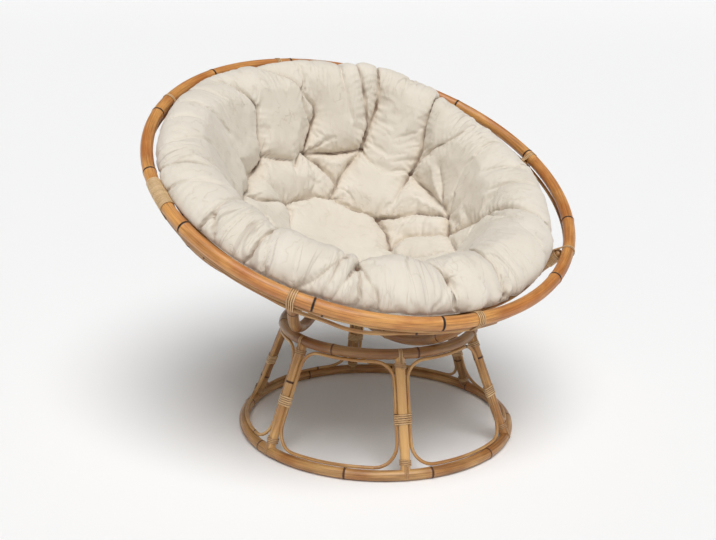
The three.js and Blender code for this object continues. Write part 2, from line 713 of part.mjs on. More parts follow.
function cushionGeometry() {
  const rows = [];
  for (const share of underShares) rows.push(() => underPoint(share * edgeSeatPolar, seatRadius));
  rows.push(() => underPoint(innerRodPolar - innerRodRadius / innerRodSphereRadius, edgeSeatRadius));
  for (const turn of edgeTurns) rows.push((angle) => edgePoint(angle, turn));
  rows.push((angle) => edgePoint(angle, Math.PI / 2));
  for (const share of topRowShares) rows.push((angle) => topPoint(angle, share));
  const positions = [0, 0, -seatRadius];
  for (const row of rows) {
    for (let i = 0; i < cushionSteps; i++) {
      const angle = (2 * Math.PI * i) / cushionSteps;
      const { x, y } = row(angle);
      positions.push(x * Math.cos(angle), x * Math.sin(angle), y);
    }
  }
  positions.push(0, 0, -tuftSphereRadius + lobeHeight);
  const topIndex = positions.length / 3 - 1;
  const index = [];
  for (let i = 0; i < cushionSteps; i++) {
    const next = (i + 1) % cushionSteps;
    index.push(0, 1 + next, 1 + i);
    for (let row = 0; row < rows.length - 1; row++) {
      const low = 1 + row * cushionSteps;
      const high = low + cushionSteps;
      index.push(low + i, low + next, high + next, low + i, high + next, high + i);
    }
    const lastRow = 1 + (rows.length - 1) * cushionSteps;
    index.push(topIndex, lastRow + i, lastRow + next);
  }
  const geometry = new THREE.BufferGeometry();
  geometry.setAttribute("position", new THREE.Float32BufferAttribute(positions, 3));
  geometry.setIndex(index);
  geometry.computeVertexNormals();
  return geometry;
}

addMesh(bowl, "cushion", cushionGeometry(), materials.cushion);

const chair = new THREE.Group();
chair.add(stand, bowl);
chair.position.y = -rimBelowCentre * Math.sin(bowlTilt);
export default chair;
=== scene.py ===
import json
import math
import random

import bpy
import numpy as np
from mathutils import Matrix, Vector


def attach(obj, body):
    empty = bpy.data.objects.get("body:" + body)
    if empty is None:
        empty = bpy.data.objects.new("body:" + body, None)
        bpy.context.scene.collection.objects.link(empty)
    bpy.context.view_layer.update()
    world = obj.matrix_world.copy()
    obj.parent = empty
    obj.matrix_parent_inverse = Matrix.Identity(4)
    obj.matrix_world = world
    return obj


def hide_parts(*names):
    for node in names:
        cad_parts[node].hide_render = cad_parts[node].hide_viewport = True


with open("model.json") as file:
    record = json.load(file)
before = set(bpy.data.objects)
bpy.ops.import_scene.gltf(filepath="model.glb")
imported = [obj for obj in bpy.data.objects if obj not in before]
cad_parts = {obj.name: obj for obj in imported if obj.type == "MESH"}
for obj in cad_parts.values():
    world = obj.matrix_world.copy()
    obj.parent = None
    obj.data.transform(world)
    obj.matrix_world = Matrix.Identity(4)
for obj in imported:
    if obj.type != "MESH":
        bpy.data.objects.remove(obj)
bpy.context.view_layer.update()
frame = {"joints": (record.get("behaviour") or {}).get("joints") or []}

# Camera, fitted to the photograph. The photograph is 716 x 540 pixels.
PHOTO_WIDTH_PX = 716
SENSOR_WIDTH_MM = 36
FOCAL_PX = 1000.13
CAMERA_AZIMUTH = math.radians(-29.43)
CAMERA_ELEVATION = math.radians(15.36)
CAMERA_ROLL = math.radians(1.3)
CAMERA_DISTANCE = 2.4406
CAMERA_TARGET = Vector((-0.0615, -0.0859, 0.4075))

# Stand, in metres.
BASE_RING_RADIUS = 0.3355
BASE_ROD_RADIUS = 0.0125
TOP_RING_RADIUS = 0.2355
TOP_ROD_RADIUS = 0.0125
TOP_RING_HEIGHT = 0.266
LEG_COUNT = 6
LEG_RADIUS = 0.0115
FIRST_LEG_ANGLE = math.radians(-18.3)
LOOP_ROD_RADIUS = 0.004
LOOP_LOW_CORNER = 0.055
LOOP_HIGH_CORNER = 0.042
CORNER_STEPS = 8
HIGH_EDGE_STEPS = 8
LOW_EDGE_STEPS = 10
LEG_END_GAP = 0.004

# Bowl: its tilt joint runs through the middle of the sphere that the ribs lie on.
SPHERE_CENTRE = Vector(frame["joints"][0]["pos_m"])
BOWL_TILT = math.radians(26.5)
RIM_RADIUS = 0.533
RIM_ROD_RADIUS = 0.015
RIM_BELOW_CENTRE = 0.1925
RIB_SPHERE_RADIUS = 0.555
RIB_ROD_RADIUS = 0.013
RIB_COUNT = 8
FIRST_RIB_ANGLE = math.radians(2)
RIB_END_TAPER = 0.03
ROD_PLAY = 0.0002
HUB_RING_RADIUS = 0.124
HUB_ROD_RADIUS = 0.012
THIN_ROD_RADIUS = 0.0045
INNER_ROD_POLAR = math.radians(65.8)
OUTER_ROD_HIGH_POLAR = math.radians(68.1)
OUTER_ROD_START = math.radians(279.5)
OUTER_ROD_LAP = math.radians(90)
OUTER_ROD_DROP = 0.013
WRAPPED_RIB = 8
RIB_WRAP_TURNS = 11
RIB_WRAP_PITCH = 0.0034

# Lashings of peeled cane.
PEEL_THICKNESS = 0.0011
PEEL_GAP = 0.0003
ROD_GAP = 0.0006
MID_LASHING_HEIGHT = 0.124
MID_TURNS = 5
MID_PITCH = 0.0049
MID_WIDTH = 0.0042
MID_START = math.pi * 0.4
END_TURNS = 3
END_PITCH = 0.0042
END_WIDTH = 0.0036
END_NEAR = 0.019
STRAP_PITCH = 0.0034
STRAP_WIDTH = 0.0029
STRAP_LEAD = 0.002
BASE_STRAP_REACH = 0.95
TOP_STRAP_REACH = math.radians(56)
STRAP_END = math.pi / 8
RIM_PEEL_PITCH = 0.0047
RIM_PEEL_WIDTH = 0.0034
RIM_PEEL_COUNTS = (3, 3, 3, 2, 0, 4, 4, 2)
RIM_STRIP_START = -math.radians(64)
RIM_STRIP_END = math.radians(222)
SPLICE_RIB = 4
SPLICE_COUNT = 30
SPLICE_PITCH = 0.0031
SPLICE_WIDTH = 0.0028

# Cushion: a dish on a sphere about the same centre, inside a thick round edge.
DISH_RADIUS = 0.432
DISH_EDGE = 0.352
ROLL_RADIUS = 0.051
ROLL_CENTRE = 0.436
ROLL_ABOVE_RIM = 0.004
ROLL_START = math.radians(150)
ROLL_END = math.radians(-62)
CUSHION_SHIFT = (-0.0116, 0.0194)
CUSHION_CELLS = 168
PROFILE_STEPS = 80
PROFILE_POINTS = 260
PROFILE_SMOOTHINGS = 80
UNDER_RADIUS = 0.5412
EDGE_LIMIT = 0.5285
RIM_CLEAR = 0.0175
STRIP_FADE = 0.01
INNER_ROD_LEAD = 0.06
INNER_ROD_FADE = 0.03

# Rows of the underside: their share of the way from the middle to the edge, and how many of the edge's
# points go to one of the row's.
UNDER_ROWS = (
    (0.985, 1), (0.97, 2), (0.94, 2), (0.9, 4), (0.86, 4), (0.81, 8), (0.75, 8), (0.69, 8), (0.62, 16),
    (0.54, 16), (0.46, 16), (0.37, 32), (0.28, 32), (0.19, 32), (0.1, 64),
)

# How far the cushion's edge stands out and up, in millimetres, by degrees round the bowl.
EDGE_FORM = (
    (0, -16, -2), (14, -31, -6), (25, -22, -4), (36, 0, 4), (47, 8, 2), (60, 4, 12), (74, 0, -2),
    (90, -2, -12), (105, -2, -13), (120, -1, -15), (135, 1, -10), (150, 5, -2), (160, 6, 3), (170, 6, 4),
    (182, 8, 5), (198, 7, 2), (208, 7, 9), (214, 3, -1), (222, 6, 10), (229, 2, 0), (236, 5, 9),
    (244, -1, -8), (256, 4, 12), (267, 0, -4), (275, 4, 8), (283, -1, -2), (298, 3, 4), (312, -1, 1),
    (320, -6, -2), (332, -15, 0), (346, -18, -1),
)

# How much the cloth stands above the sewn points at the middle of a lobe, and how deep a full crease is
# below it, in millimetres, by share of the way from the middle to the edge.
LOBE_FORM = (
    (0, 26, 30), (0.3, 29, 34), (0.5, 28, 34), (0.68, 22, 31), (0.82, 8, 19), (0.92, 3, 12), (1, 2, 9),
    (1.06, 1, 5), (1.2, 0, 0),
)

# How much fuller the edge's outer side is than its mean outline, in millimetres, by degrees.
EDGE_FULL = (
    (0, 3), (30, 0), (160, 0), (178, 5), (190, 14), (210, 25), (230, 33), (250, 40), (270, 44), (290, 44),
    (310, 36), (325, 20), (345, 8),
)

# How far the underside is drawn up from the ribs beside the front edge, in millimetres, by degrees.
UNDER_DRAWN = ((0, 4), (40, 0), (160, 0), (190, 14), (215, 26), (240, 30), (270, 26), (300, 16), (330, 8))

# How far the outer rod's first turn sags below its even course, in degrees, by degrees round the bowl.
OUTER_SAG = ((0, 0), (220, 0), (229, -1.4), (235, -1.0), (241, -2.8), (246, -2.6), (254, -0.4), (260, 0))

# Sewn points, as degrees round the bowl and percents of the way to the edge.
TUFTS = (
    (29, 24), (94, 49), (60, 53), (30, 51), (352, 48), (338, 45), (80, 27), (130, 31),
    (121, 53), (140, 50), (337, 20), (172, 54), (205, 56), (232, 55), (250, 57), (271, 56),
    (296, 55), (318, 50), (195, 30), (262, 24), (305, 26), (243, 88), (268, 91), (284, 99),
)

# Creases: width in millimetres, depth shares at both ends, then points like the sewn points.
CREASES = (
    (30, 0.9, 0.6, (121, 53), (112, 49), (104, 47)),
    (24, 0.5, 1, (104, 47), (104, 44), (96, 50), (94, 49)),
    (30, 1, 0.8, (94, 49), (86, 44), (78, 38), (74, 34), (80, 27)),
    (30, 1, 0.8, (60, 53), (66, 45), (72, 37), (74, 34)),
    (30, 1, 1, (94, 49), (84, 49), (76, 49), (66, 51), (60, 53)),
    (22, 0.9, 0.3, (60, 53), (56, 49), (50, 47)),
    (24, 0.8, 0.15, (94, 49), (80, 54), (70, 58)),
    (32, 0.8, 0.9, (130, 31), (114, 29), (98, 28), (80, 27), (65, 24), (46, 23), (29, 24)),
    (24, 0.8, 0.5, (130, 31), (140, 27), (152, 26), (195, 30)),
    (30, 1, 0.8, (29, 24), (4, 21), (337, 20)),
    (28, 0.9, 0.8, (29, 24), (17, 29), (8, 38), (352, 48)),
    (28, 0.9, 0.3, (30, 51), (28, 41), (24, 33)),
    (30, 0.9, 0.7, (30, 51), (16, 49), (358, 49), (352, 48)),
    (34, 0.4, 1, (14, 62), (7, 55), (1, 50), (352, 48), (338, 45)),
    (32, 1, 0.5, (338, 45), (336, 55), (329, 69), (322, 85), (318, 98)),
    (24, 0.6, 0.2, (328, 69), (316, 80), (306, 90)),
    (26, 0.8, 0.9, (338, 45), (346, 34), (350, 27), (337, 20)),
    (28, 0.9, 0.4, (30, 51), (28, 60), (24, 66), (16, 76), (12, 88)),
    (30, 1, 0.7, (30, 51), (30, 63), (32, 71), (33, 82), (34, 98)),
    (30, 1, 0.8, (60, 53), (58, 62), (56, 70), (56, 77), (58, 86), (60, 102)),
    (18, 0.9, 0.6, (60, 53), (58, 63), (62, 74), (66, 86), (68, 98)),
    (28, 1, 0.5, (94, 49), (86, 61), (84, 65), (84, 69), (88, 74), (94, 82), (103, 90)),
    (16, 0.7, 0.5, (86, 61), (89, 67), (90, 73), (88, 80)),
    (20, 0.3, 0.7, (67, 64), (70, 74), (72, 81), (73, 95), (73, 103)),
    (26, 0.9, 0.4, (121, 53), (119, 60), (115, 72), (117, 79), (122, 90)),
    (26, 0.9, 0.9, (140, 50), (132, 50), (121, 53)),
    (26, 0.9, 0.6, (140, 50), (150, 48), (157, 50), (172, 54)),
    (22, 0.8, 0.6, (157, 50), (150, 40), (130, 31)),
    (26, 0.8, 0.6, (172, 54), (188, 56), (205, 56), (218, 57), (232, 55)),
    (26, 0.8, 0.6, (232, 55), (250, 57), (271, 56), (296, 55), (318, 50), (338, 45)),
    (22, 0.6, 0.6, (195, 30), (228, 28), (262, 24), (305, 26), (337, 20)),
    (22, 0.6, 0.5, (195, 30), (198, 42), (205, 56)),
    (22, 0.6, 0.5, (262, 24), (256, 40), (250, 57)),
    (22, 0.6, 0.5, (305, 26), (310, 38), (318, 50)),
    (26, 0.8, 0.8, (205, 56), (212, 70), (217, 83), (216, 92), (216, 97), (214, 104)),
    (14, 0.6, 0.6, (217, 88), (220, 95), (221, 103)),
    (22, 0.2, 0.9, (196, 70), (199, 86), (201, 94), (200, 106)),
    (14, 0.9, 0.5, (201, 93), (205, 97), (207, 105)),
    (22, 0.9, 0.4, (232, 55), (237, 75), (239, 87), (236, 91), (232, 97), (228, 103)),
    (14, 0.7, 0.3, (237, 90), (236, 97), (235, 103)),
    (24, 0.9, 1, (250, 57), (245, 75), (243, 88)),
    (14, 0.9, 0.3, (243, 88), (239, 95), (237, 104)),
    (10, 0.7, 0.3, (243, 88), (244, 97), (243, 106)),
    (13, 0.8, 0.3, (243, 88), (248, 96), (250, 106)),
    (22, 0.9, 0.7, (271, 56), (263, 74), (265, 84), (268, 91)),
    (14, 0.6, 0.3, (268, 91), (268, 98), (272, 107)),
    (14, 0.5, 0.2, (268, 91), (262, 99), (261, 106)),
    (20, 0.7, 0.5, (296, 55), (289, 75), (284, 90), (284, 99)),
    (14, 0.6, 0.3, (284, 99), (280, 103), (279, 108)),
    (12, 0.6, 0.3, (284, 99), (288, 103), (289, 108)),
    (16, 0.1, 0.5, (0, 76), (2, 86), (358, 98)),
    (12, 0.2, 0.4, (350, 76), (346, 90)),
    (12, 0.2, 0.4, (340, 72), (336, 90)),
    (20, 0.5, 0.2, (172, 54), (174, 68), (176, 84)),
    (10, 0.2, 0.35, (182, 80), (178, 92), (175, 103)),
    (9, 0.2, 0.35, (192, 84), (186, 94), (183, 103)),
    (9, 0.2, 0.35, (161, 76), (168, 90), (170, 102)),
    (12, 0.2, 0.4, (140, 70), (144, 84), (146, 102)),
    (10, 0.1, 0.35, (131, 80), (133, 94), (132, 104)),
    (9, 0.1, 0.35, (153, 82), (156, 93), (158, 104)),
    (16, 0.1, 0.45, (307, 84), (304, 95), (304, 105)),
    (14, 0.1, 0.5, (45, 84), (47, 94), (46, 105)),
    (14, 0.1, 0.5, (82, 88), (83, 96), (82, 105)),
)

# How far a sewn point and a crease draw the cloth down beside them.
TUFT_REACH = 0.024
CREASE_SHARPNESS = 0.85

# Simulation of the cloth. Only sewn points and, partly, the creases are held.
CLOTH_FRAMES = 24
CLOTH_GROWTH = 0.04
CLOTH_CAP = 0.013
CLOTH_SETTINGS = {
    "quality": 5,
    "mass": 0.25,
    "tension_stiffness": 12,
    "compression_stiffness": 12,
    "shear_stiffness": 4,
    "bending_stiffness": 0.12,
    "air_damping": 2,
    "pin_stiffness": 2.5,
    "shrink_min": -CLOTH_GROWTH,
    "shrink_max": -CLOTH_GROWTH,
    "use_pressure": True,
    "uniform_pressure_force": 1.6,
}
SEWN_RADIUS = 0.007
CREASE_HELD_FROM = 0.72
CREASE_HOLD = 0.3

# Fine wrinkles: their heights, widths and reaches in metres.
RUMPLES = ((0.0016, 0.045), (0.0008, 0.02))
RAY_HEIGHT = 0.0034
RAY_REACH = 0.04
RAY_LINE_REACH = 0.06
KNOT_WIDTH = 0.006
GATHER_HEIGHT = 0.0024
GATHER_PITCH = 0.017
GATHER_REACH = 0.03
FOLD_LINE_WIDTH = 0.0042
FOLD_LINE_DEPTH = 0.0055
EDGE_LINE_HEIGHT = 0.0023
EDGE_LINE_PITCH = 0.012
FRONT_FOLD_HEIGHT = 0.0042
FRONT_FOLD_PITCH = 0.021
FRONT_DEGREES = 268

# Places of the dark node rings: degrees round a ring, or shares of a rod's length.
RIM_NODE_DEGREES = (172.8, 145, 115.8, 88, 60, 33, 3.5, 331.3, 303, 262, 232, 195)
BASE_NODE_DEGREES = (10, 52, 95, 140, 186, 228, 262, 292, 331)
TOP_NODE_DEGREES = (20, 88, 158, 214, 262, 318)
LEG_NODE_SHARES = (0.47, 0.78, 0.34, 0.55, 0.25, 0.63)
RIB_NODE_SHARES = (
    (0.32, 0.74), (0.11, 0.53), (0.3, 0.72), (0.49, 0.91), (0.28, 0.7), (0.56, 0.86), (0.3, 0.73),
    (0.28, 0.87),
)
HUB_NODE_SHARES = (0.1, 0.45, 0.8)
INNER_NODE_SHARES = (0.06, 0.21, 0.37, 0.52, 0.7, 0.88)
OUTER_NODE_SHARES = (0.05, 0.17, 0.33, 0.46, 0.61, 0.75, 0.9)

# Tones of the rods after the photograph: more is darker.
# The legs carry painted light and shade: the front legs are lighter as painted light, the back legs darker as
# painted shade.
LEG_PAINTED_LIGHT_AND_SHADE = (-2.6, -0.4, 1.2, 1.8, 1.4, -0.8)
BASE_RING_TONE = -0.6
# The top ring, the hub ring and the ribs are darker as painted shade, for the shade under the bowl.
TOP_RING_PAINTED_SHADE = 2.2
HUB_PAINTED_SHADE = 2
RIB_PAINTED_SHADE = 1.3
# The lashings at the legs' ends are darker as painted shade.
END_LASHING_PAINTED_SHADE = 1.6
SPLICE_TONE = -2.5

# Cane rods. A node ring is a wide swelling with a lip on both sides of a groove, under a dark scar.
SIDES = 20
THIN_SIDES = 12
RIM_SIDES = 28
ROD_STEP = 0.009
LOOP_STEP = 0.006
ROD_SWAY = 0.0006
RIM_SWAY = 0.0008
THIN_SWAY = 0.0004
ROD_UNEVEN = 0.012
PATH_STEPS = 1200
NOISE_WAVES = 6
NOISE_PEAK = 1.6
NODE_HALF = np.array((0.014, 0.009, 0.006, 0.004, 0.0025, 0.0015, 0.0008))
NODE_OFFSETS = np.concatenate((-NODE_HALF, (0,), NODE_HALF[::-1]))
NODE_SWELL = 0.035
NODE_SWELL_WIDTH = 0.011
NODE_LIP = 0.045
NODE_LIP_PLACE = 0.002
NODE_LIP_WIDTH = 0.0016
NODE_GROOVE = 0.03
NODE_GROOVE_WIDTH = 0.0009
SCAR_WIDTH = 0.0027
TAPER = 0.32

# The section of a strip, as shares of its width and thickness, and how dark its edges are painted, as painted
# shade between neighbouring strips.
STRIP_SECTION = ((-0.5, 0), (-0.49, 0.55), (-0.28, 0.92), (0, 1), (0.28, 0.92), (0.49, 0.55), (0.5, 0))
STRIP_EDGE_SHADE = 0.75

leg_foot_height = BASE_ROD_RADIUS
leg_length = math.hypot(BASE_RING_RADIUS - TOP_RING_RADIUS, TOP_RING_HEIGHT - leg_foot_height)
rim_polar = math.atan2(RIM_RADIUS, RIM_BELOW_CENTRE)
hub_polar = math.asin(HUB_RING_RADIUS / RIB_SPHERE_RADIUS)
inner_rod_sphere = RIB_SPHERE_RADIUS - RIB_ROD_RADIUS - ROD_GAP - THIN_ROD_RADIUS
outer_rod_sphere = RIB_SPHERE_RADIUS + RIB_ROD_RADIUS + ROD_GAP + THIN_ROD_RADIUS
loop_offset = LEG_RADIUS + ROD_GAP + LOOP_ROD_RADIUS

# The inner face of the strips between the rim and the inner rod: its direction and its lowest point.
inner_rod_place = inner_rod_sphere * np.array((math.sin(INNER_ROD_POLAR), -math.cos(INNER_ROD_POLAR)))
rod_to_rim = np.array((RIM_RADIUS, -RIM_BELOW_CENTRE)) - inner_rod_place
strip_turn = math.pi / 2 + math.asin((RIM_ROD_RADIUS - THIN_ROD_RADIUS) / np.linalg.norm(rod_to_rim))
strip_turn += math.atan2(rod_to_rim[1], rod_to_rim[0])
strip_normal = np.array((math.cos(strip_turn), math.sin(strip_turn)))
strip_low = inner_rod_place + strip_normal * (THIN_ROD_RADIUS + PEEL_GAP + 2 * PEEL_THICKNESS)

scene = bpy.context.scene


# Helpers.
def direction(azimuth, elevation):
    """A direction by its azimuth, which grows from the front to the right, and its elevation."""
    level = math.cos(elevation)
    return Vector((math.sin(azimuth) * level, -math.cos(azimuth) * level, math.sin(elevation)))


def unit(vectors):
    return vectors / np.linalg.norm(vectors, axis=1)[:, None]


def run_lengths(points):
    """How far along a line each of its points lies."""
    return np.concatenate(([0], np.cumsum(np.linalg.norm(np.diff(points, axis=0), axis=1))))


def bell(distance, width):
    return np.exp(-((distance / width) ** 2))


def ramp(value, start, reach):
    """Rises from 0 at start to 1 at start + reach."""
    return np.clip((value - start) / reach, 0, 1)


def softened(share):
    return share * share * (3 - 2 * share)


# Camera.
def make_camera():
    back = direction(CAMERA_AZIMUTH, CAMERA_ELEVATION)
    level = Vector((math.cos(CAMERA_AZIMUTH), math.sin(CAMERA_AZIMUTH), 0))
    upward = back.cross(level)
    right = level * math.cos(CAMERA_ROLL) + upward * math.sin(CAMERA_ROLL)
    up = upward * math.cos(CAMERA_ROLL) - level * math.sin(CAMERA_ROLL)
    data = bpy.data.cameras.new("camera")
    data.sensor_width = SENSOR_WIDTH_MM
    data.lens = FOCAL_PX / PHOTO_WIDTH_PX * SENSOR_WIDTH_MM
    camera = bpy.data.objects.new("camera", data)
    scene.collection.objects.link(camera)
    turn = Matrix((right, up, back)).transposed().to_4x4()
    camera.matrix_world = Matrix.Translation(CAMERA_TARGET + back * CAMERA_DISTANCE) @ turn
    scene.camera = camera


# Meshes.
def add_mesh(name, points, faces, material=None):
    mesh = bpy.data.meshes.new(name)
    mesh.from_pydata([tuple(p) for p in points], [], faces)
    mesh.update()
    mesh.shade_smooth()
    if material:
        mesh.materials.append(material)
    piece = bpy.data.objects.new(name, mesh)
    scene.collection.objects.link(piece)
    return piece


def make_piece(name, points, faces, material, body, attributes):
    """A piece that rides on a body and carries values at its points for its material."""
    piece = add_mesh(name, points, faces, material)
    for key, values in attributes.items():
        values = np.asarray(values, np.float32)
        kind, field = ("FLOAT_VECTOR", "vector") if values.ndim == 2 else ("FLOAT", "value")
        piece.data.attributes.new(key, kind, "POINT").data.foreach_set(field, values.ravel())
    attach(piece, body)
    return piece


def stand_in(node):
    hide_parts(node)


def band_faces(rows, columns, wrap=False):
    """The quads between rows of a closed band of points, where wrap joins the last row to the first."""
    for i in range(rows if wrap else rows - 1):
        above = (i + 1) % rows * columns
        for j in range(columns):
            k = (j + 1) % columns
            yield i * columns + j, above + j, above + k, i * columns + k


def smooth_noise(rng, places, length, size):
    """A soft random curve over places from 0 to length, which joins up at its ends."""
    total = np.zeros(len(places))
    for wave in range(1, NOISE_WAVES + 1):
        phase = rng.uniform(0, math.tau)
        share = rng.uniform(0.4, 1) / wave
        total += share * np.sin(math.tau * wave * places / length + phase)
    return size * total / NOISE_PEAK


def carried_frames(points, closed):
    """Two cross directions that turn as little as they can along the points."""
    ahead = np.roll(points, -1, 0) - points
    behind = points - np.roll(points, 1, 0)
    if not closed:
        ahead[-1] = behind[-1]
        behind[0] = ahead[0]
    tangents = unit(unit(ahead) + unit(behind))
    side = np.cross(tangents[0], (0.0, 0.0, 1.0))
    if np.linalg.norm(side) < 0.1:
        side = np.cross(tangents[0], (1.0, 0.0, 0.0))
    sides = []
    for tangent in tangents:
        side = side - tangent * np.dot(side, tangent)
        side /= np.linalg.norm(side)
        sides.append(side)
    sides = np.array(sides)
    others = np.cross(tangents, sides)
    if closed:
        last = sides[-1] - tangents[0] * np.dot(sides[-1], tangents[0])
        twist = math.atan2(np.dot(last, others[0]), np.dot(last, sides[0]))
        turns = -twist * np.arange(len(points)) / len(points)
        cos, sin = np.cos(turns)[:, None], np.sin(turns)[:, None]
        sides, others = cos * sides + sin * others, cos * others - sin * sides
    return sides, others


def rod(name, path, radius, slot, body, closed=False, nodes=(), sides=SIDES, sway=ROD_SWAY, step=ROD_STEP,
        taper=0, tone=0):
    """A length of cane along path, a function of shares from 0 to 1, with node rings at those shares."""
    rng = random.Random(name)
    shares = np.linspace(0, 1, PATH_STEPS + 1)
    fine = path(shares)
    runs = run_lengths(fine)
    length = runs[-1]
    node_places = np.interp(np.array(nodes, float), shares, runs)
    places = list(np.linspace(0, length, max(int(length / step), 3) + 1))
    for place in node_places:
        places = [p for p in places if abs(p - place) > NODE_OFFSETS[-1]]
        places += list((place + NODE_OFFSETS) % length if closed else place + NODE_OFFSETS)
    places = np.array(sorted(p for p in places if 0 <= p <= length))
    if closed and length - places[-1] < step / 4:
        places = places[:-1]
    points = np.stack([np.interp(places, runs, fine[:, i]) for i in range(3)], 1)
    side, other = carried_frames(points, closed)
    points += side * smooth_noise(rng, places, length, sway)[:, None]
    points += other * smooth_noise(rng, places, length, sway)[:, None]
    scar_and_shade = np.zeros(len(places))
    width = radius * (1 + smooth_noise(rng, places, length, ROD_UNEVEN))
    for place in node_places:
        gap = np.abs(places - place)
        if closed:
            gap = np.minimum(gap, length - gap)
        scar_and_shade = np.maximum(scar_and_shade, rng.uniform(0.6, 1) * bell(gap, SCAR_WIDTH))
        width += radius * NODE_SWELL * bell(gap, NODE_SWELL_WIDTH)
        width += radius * NODE_LIP * bell(gap - NODE_LIP_PLACE, NODE_LIP_WIDTH)
        width -= radius * NODE_GROOVE * bell(gap, NODE_GROOVE_WIDTH)
    if taper:
        width *= 1 - TAPER * np.clip(1 - (length - places) / taper, 0, 1) ** 2
    turn = math.tau * np.arange(sides) / sides
    cos, sin = np.cos(turn), np.sin(turn)
    ring = side[:, None, :] * cos[None, :, None] + other[:, None, :] * sin[None, :, None]
    verts = points[:, None, :] + ring * width[:, None, None]
    along = places[:, None] + rng.uniform(0, 40)
    cane = np.stack(np.broadcast_arrays(along, radius * cos[None], radius * sin[None]), 2)
    count = len(places)
    faces = [(a, b, d, c) for a, c, d, b in band_faces(count, sides, closed)]
    if not closed:
        faces.append(tuple(range(sides - 1, -1, -1)))
        faces.append(tuple(range((count - 1) * sides, count * sides)))
    # The tone is the rod's own random tone plus its given tone, which for some rods is painted shade and for
    # the front legs painted light.
    tones = np.full(count * sides, tone + rng.uniform(-1, 0.5))
    data = {"cane": cane.reshape(-1, 3), "scar_and_shade": np.repeat(scar_and_shade, sides), "tone": tones}
    piece = make_piece(name, verts.reshape(-1, 3), faces, canes[slot], body, data)
    stand_in(name)


class Strips:
    """Flat strips of peeled cane, gathered into one piece."""

    def __init__(self, name, shade=0):
        self.name, self.shade = name, shade
        self.rng = random.Random(name)
        self.points, self.faces, self.cane, self.tone, self.scar_and_shade = [], [], [], [], []

    def add(self, points, outs, width):
        points = np.asarray(points, float)
        along = np.gradient(points, axis=0)
        across = unit(np.cross(along, np.asarray(outs, float)))
        outs = unit(np.cross(across, along))
        start, base = self.rng.uniform(0, 40), len(self.points)
        tone = self.shade + self.rng.uniform(-1, 1)
        width *= self.rng.uniform(0.93, 1.05)
        for point, side, out, run in zip(points, across, outs, run_lengths(points)):
            for share, rise in STRIP_SECTION:
                self.points.append(point + side * share * width + out * rise * PEEL_THICKNESS)
                self.cane.append((start + run, share * width, rise * PEEL_THICKNESS))
                self.tone.append(tone)
                # The strips' edges are darkened as painted shade, in the same attribute as the node scars.
                self.scar_and_shade.append(STRIP_EDGE_SHADE * float(abs(share) > 0.45))
        count = len(STRIP_SECTION)
        last = (len(points) - 1) * count
        faces = [*band_faces(len(points), count), range(count), range(last + count - 1, last - 1, -1)]
        self.faces += [tuple(base + corner for corner in face) for face in faces]

    def make(self, body, to_world, replacing=True):
        data = {"cane": self.cane, "tone": self.tone, "scar_and_shade": self.scar_and_shade}
        piece = make_piece(self.name, to_world(np.array(self.points)), self.faces, peel_cane, body, data)
        if replacing:
            stand_in(self.name)


def hull_outline(discs, start, end, steps):
    """Points and normals of a band drawn taut round discs (x, y, radius), for normals from start to end."""
    centres = np.array([d[:2] for d in discs])
    radii = np.array([d[2] for d in discs])
    angles = np.linspace(start, end, steps)
    normals = np.stack((np.cos(angles), np.sin(angles)), 1)
    best = np.argmax(centres @ normals.T + radii[:, None], 0)
    return centres[best] + normals * radii[best][:, None], normals


# Materials.
class Paint:
    """A material and its nodes."""

    def __init__(self, name):
        self.material = bpy.data.materials.new(name)
        self.material.use_nodes = True
        self.tree = self.material.node_tree
        self.shader = self.tree.nodes["Principled BSDF"]

    def fill(self, node, inputs):
        for key, value in inputs.items():
            if isinstance(value, bpy.types.NodeSocket):
                self.tree.links.new(value, node.inputs[key])
            else:
                node.inputs[key].default_value = value

    def add(self, kind, inputs, **settings):
        node = self.tree.nodes.new("ShaderNode" + kind)
        for key, value in settings.items():
            setattr(node, key, value)
        self.fill(node, inputs)
        return node.outputs

    def attribute(self, name, output="Fac"):
        return self.add("Attribute", {}, attribute_name=name)[output]

    def calculate(self, operation, *values):
        return self.add("Math", dict(enumerate(values)), operation=operation)[0]

    def noise(self, vector, scale, detail, stretch=(1, 1, 1), rough=0.5):
        place = self.add("Mapping", {"Vector": vector, "Scale": stretch})[0]
        inputs = {"Vector": place, "Scale": scale, "Detail": detail, "Roughness": rough}
        return self.add("TexNoise", inputs)["Fac"]

    def remap(self, value, low, high, to_low=0, to_high=1):
        inputs = {"Value": value, "From Min": low, "From Max": high, "To Min": to_low, "To Max": to_high}
        return self.add("MapRange", inputs)[0]

    def mix(self, share, low, high):
        return self.add("Mix", {0: share, 6: low, 7: high}, data_type="RGBA")[2]

    def coats(self, colour, rows):
        """Lays colours on: each over the rise of a value between two levels, up to its greatest share."""
        for value, low, high, most, tint in rows:
            colour = self.mix(self.remap(value, low, high, 0, most), colour, tint)
        return colour

    def bump(self, strength, distance, height, normal=None, invert=False):
        inputs = {"Strength": strength, "Distance": distance, "Height": height}
        if normal is not None:
            inputs["Normal"] = normal
        return self.add("Bump", inputs, invert=invert)[0]


def rgb(*screen):
    """A colour given in screen values from 0 to 255, as the shader's linear numbers."""
    shares = [value / 255 for value in screen]
    return (*[s / 12.92 if s <= 0.04045 else ((s + 0.055) / 1.055) ** 2.4 for s in shares], 1)


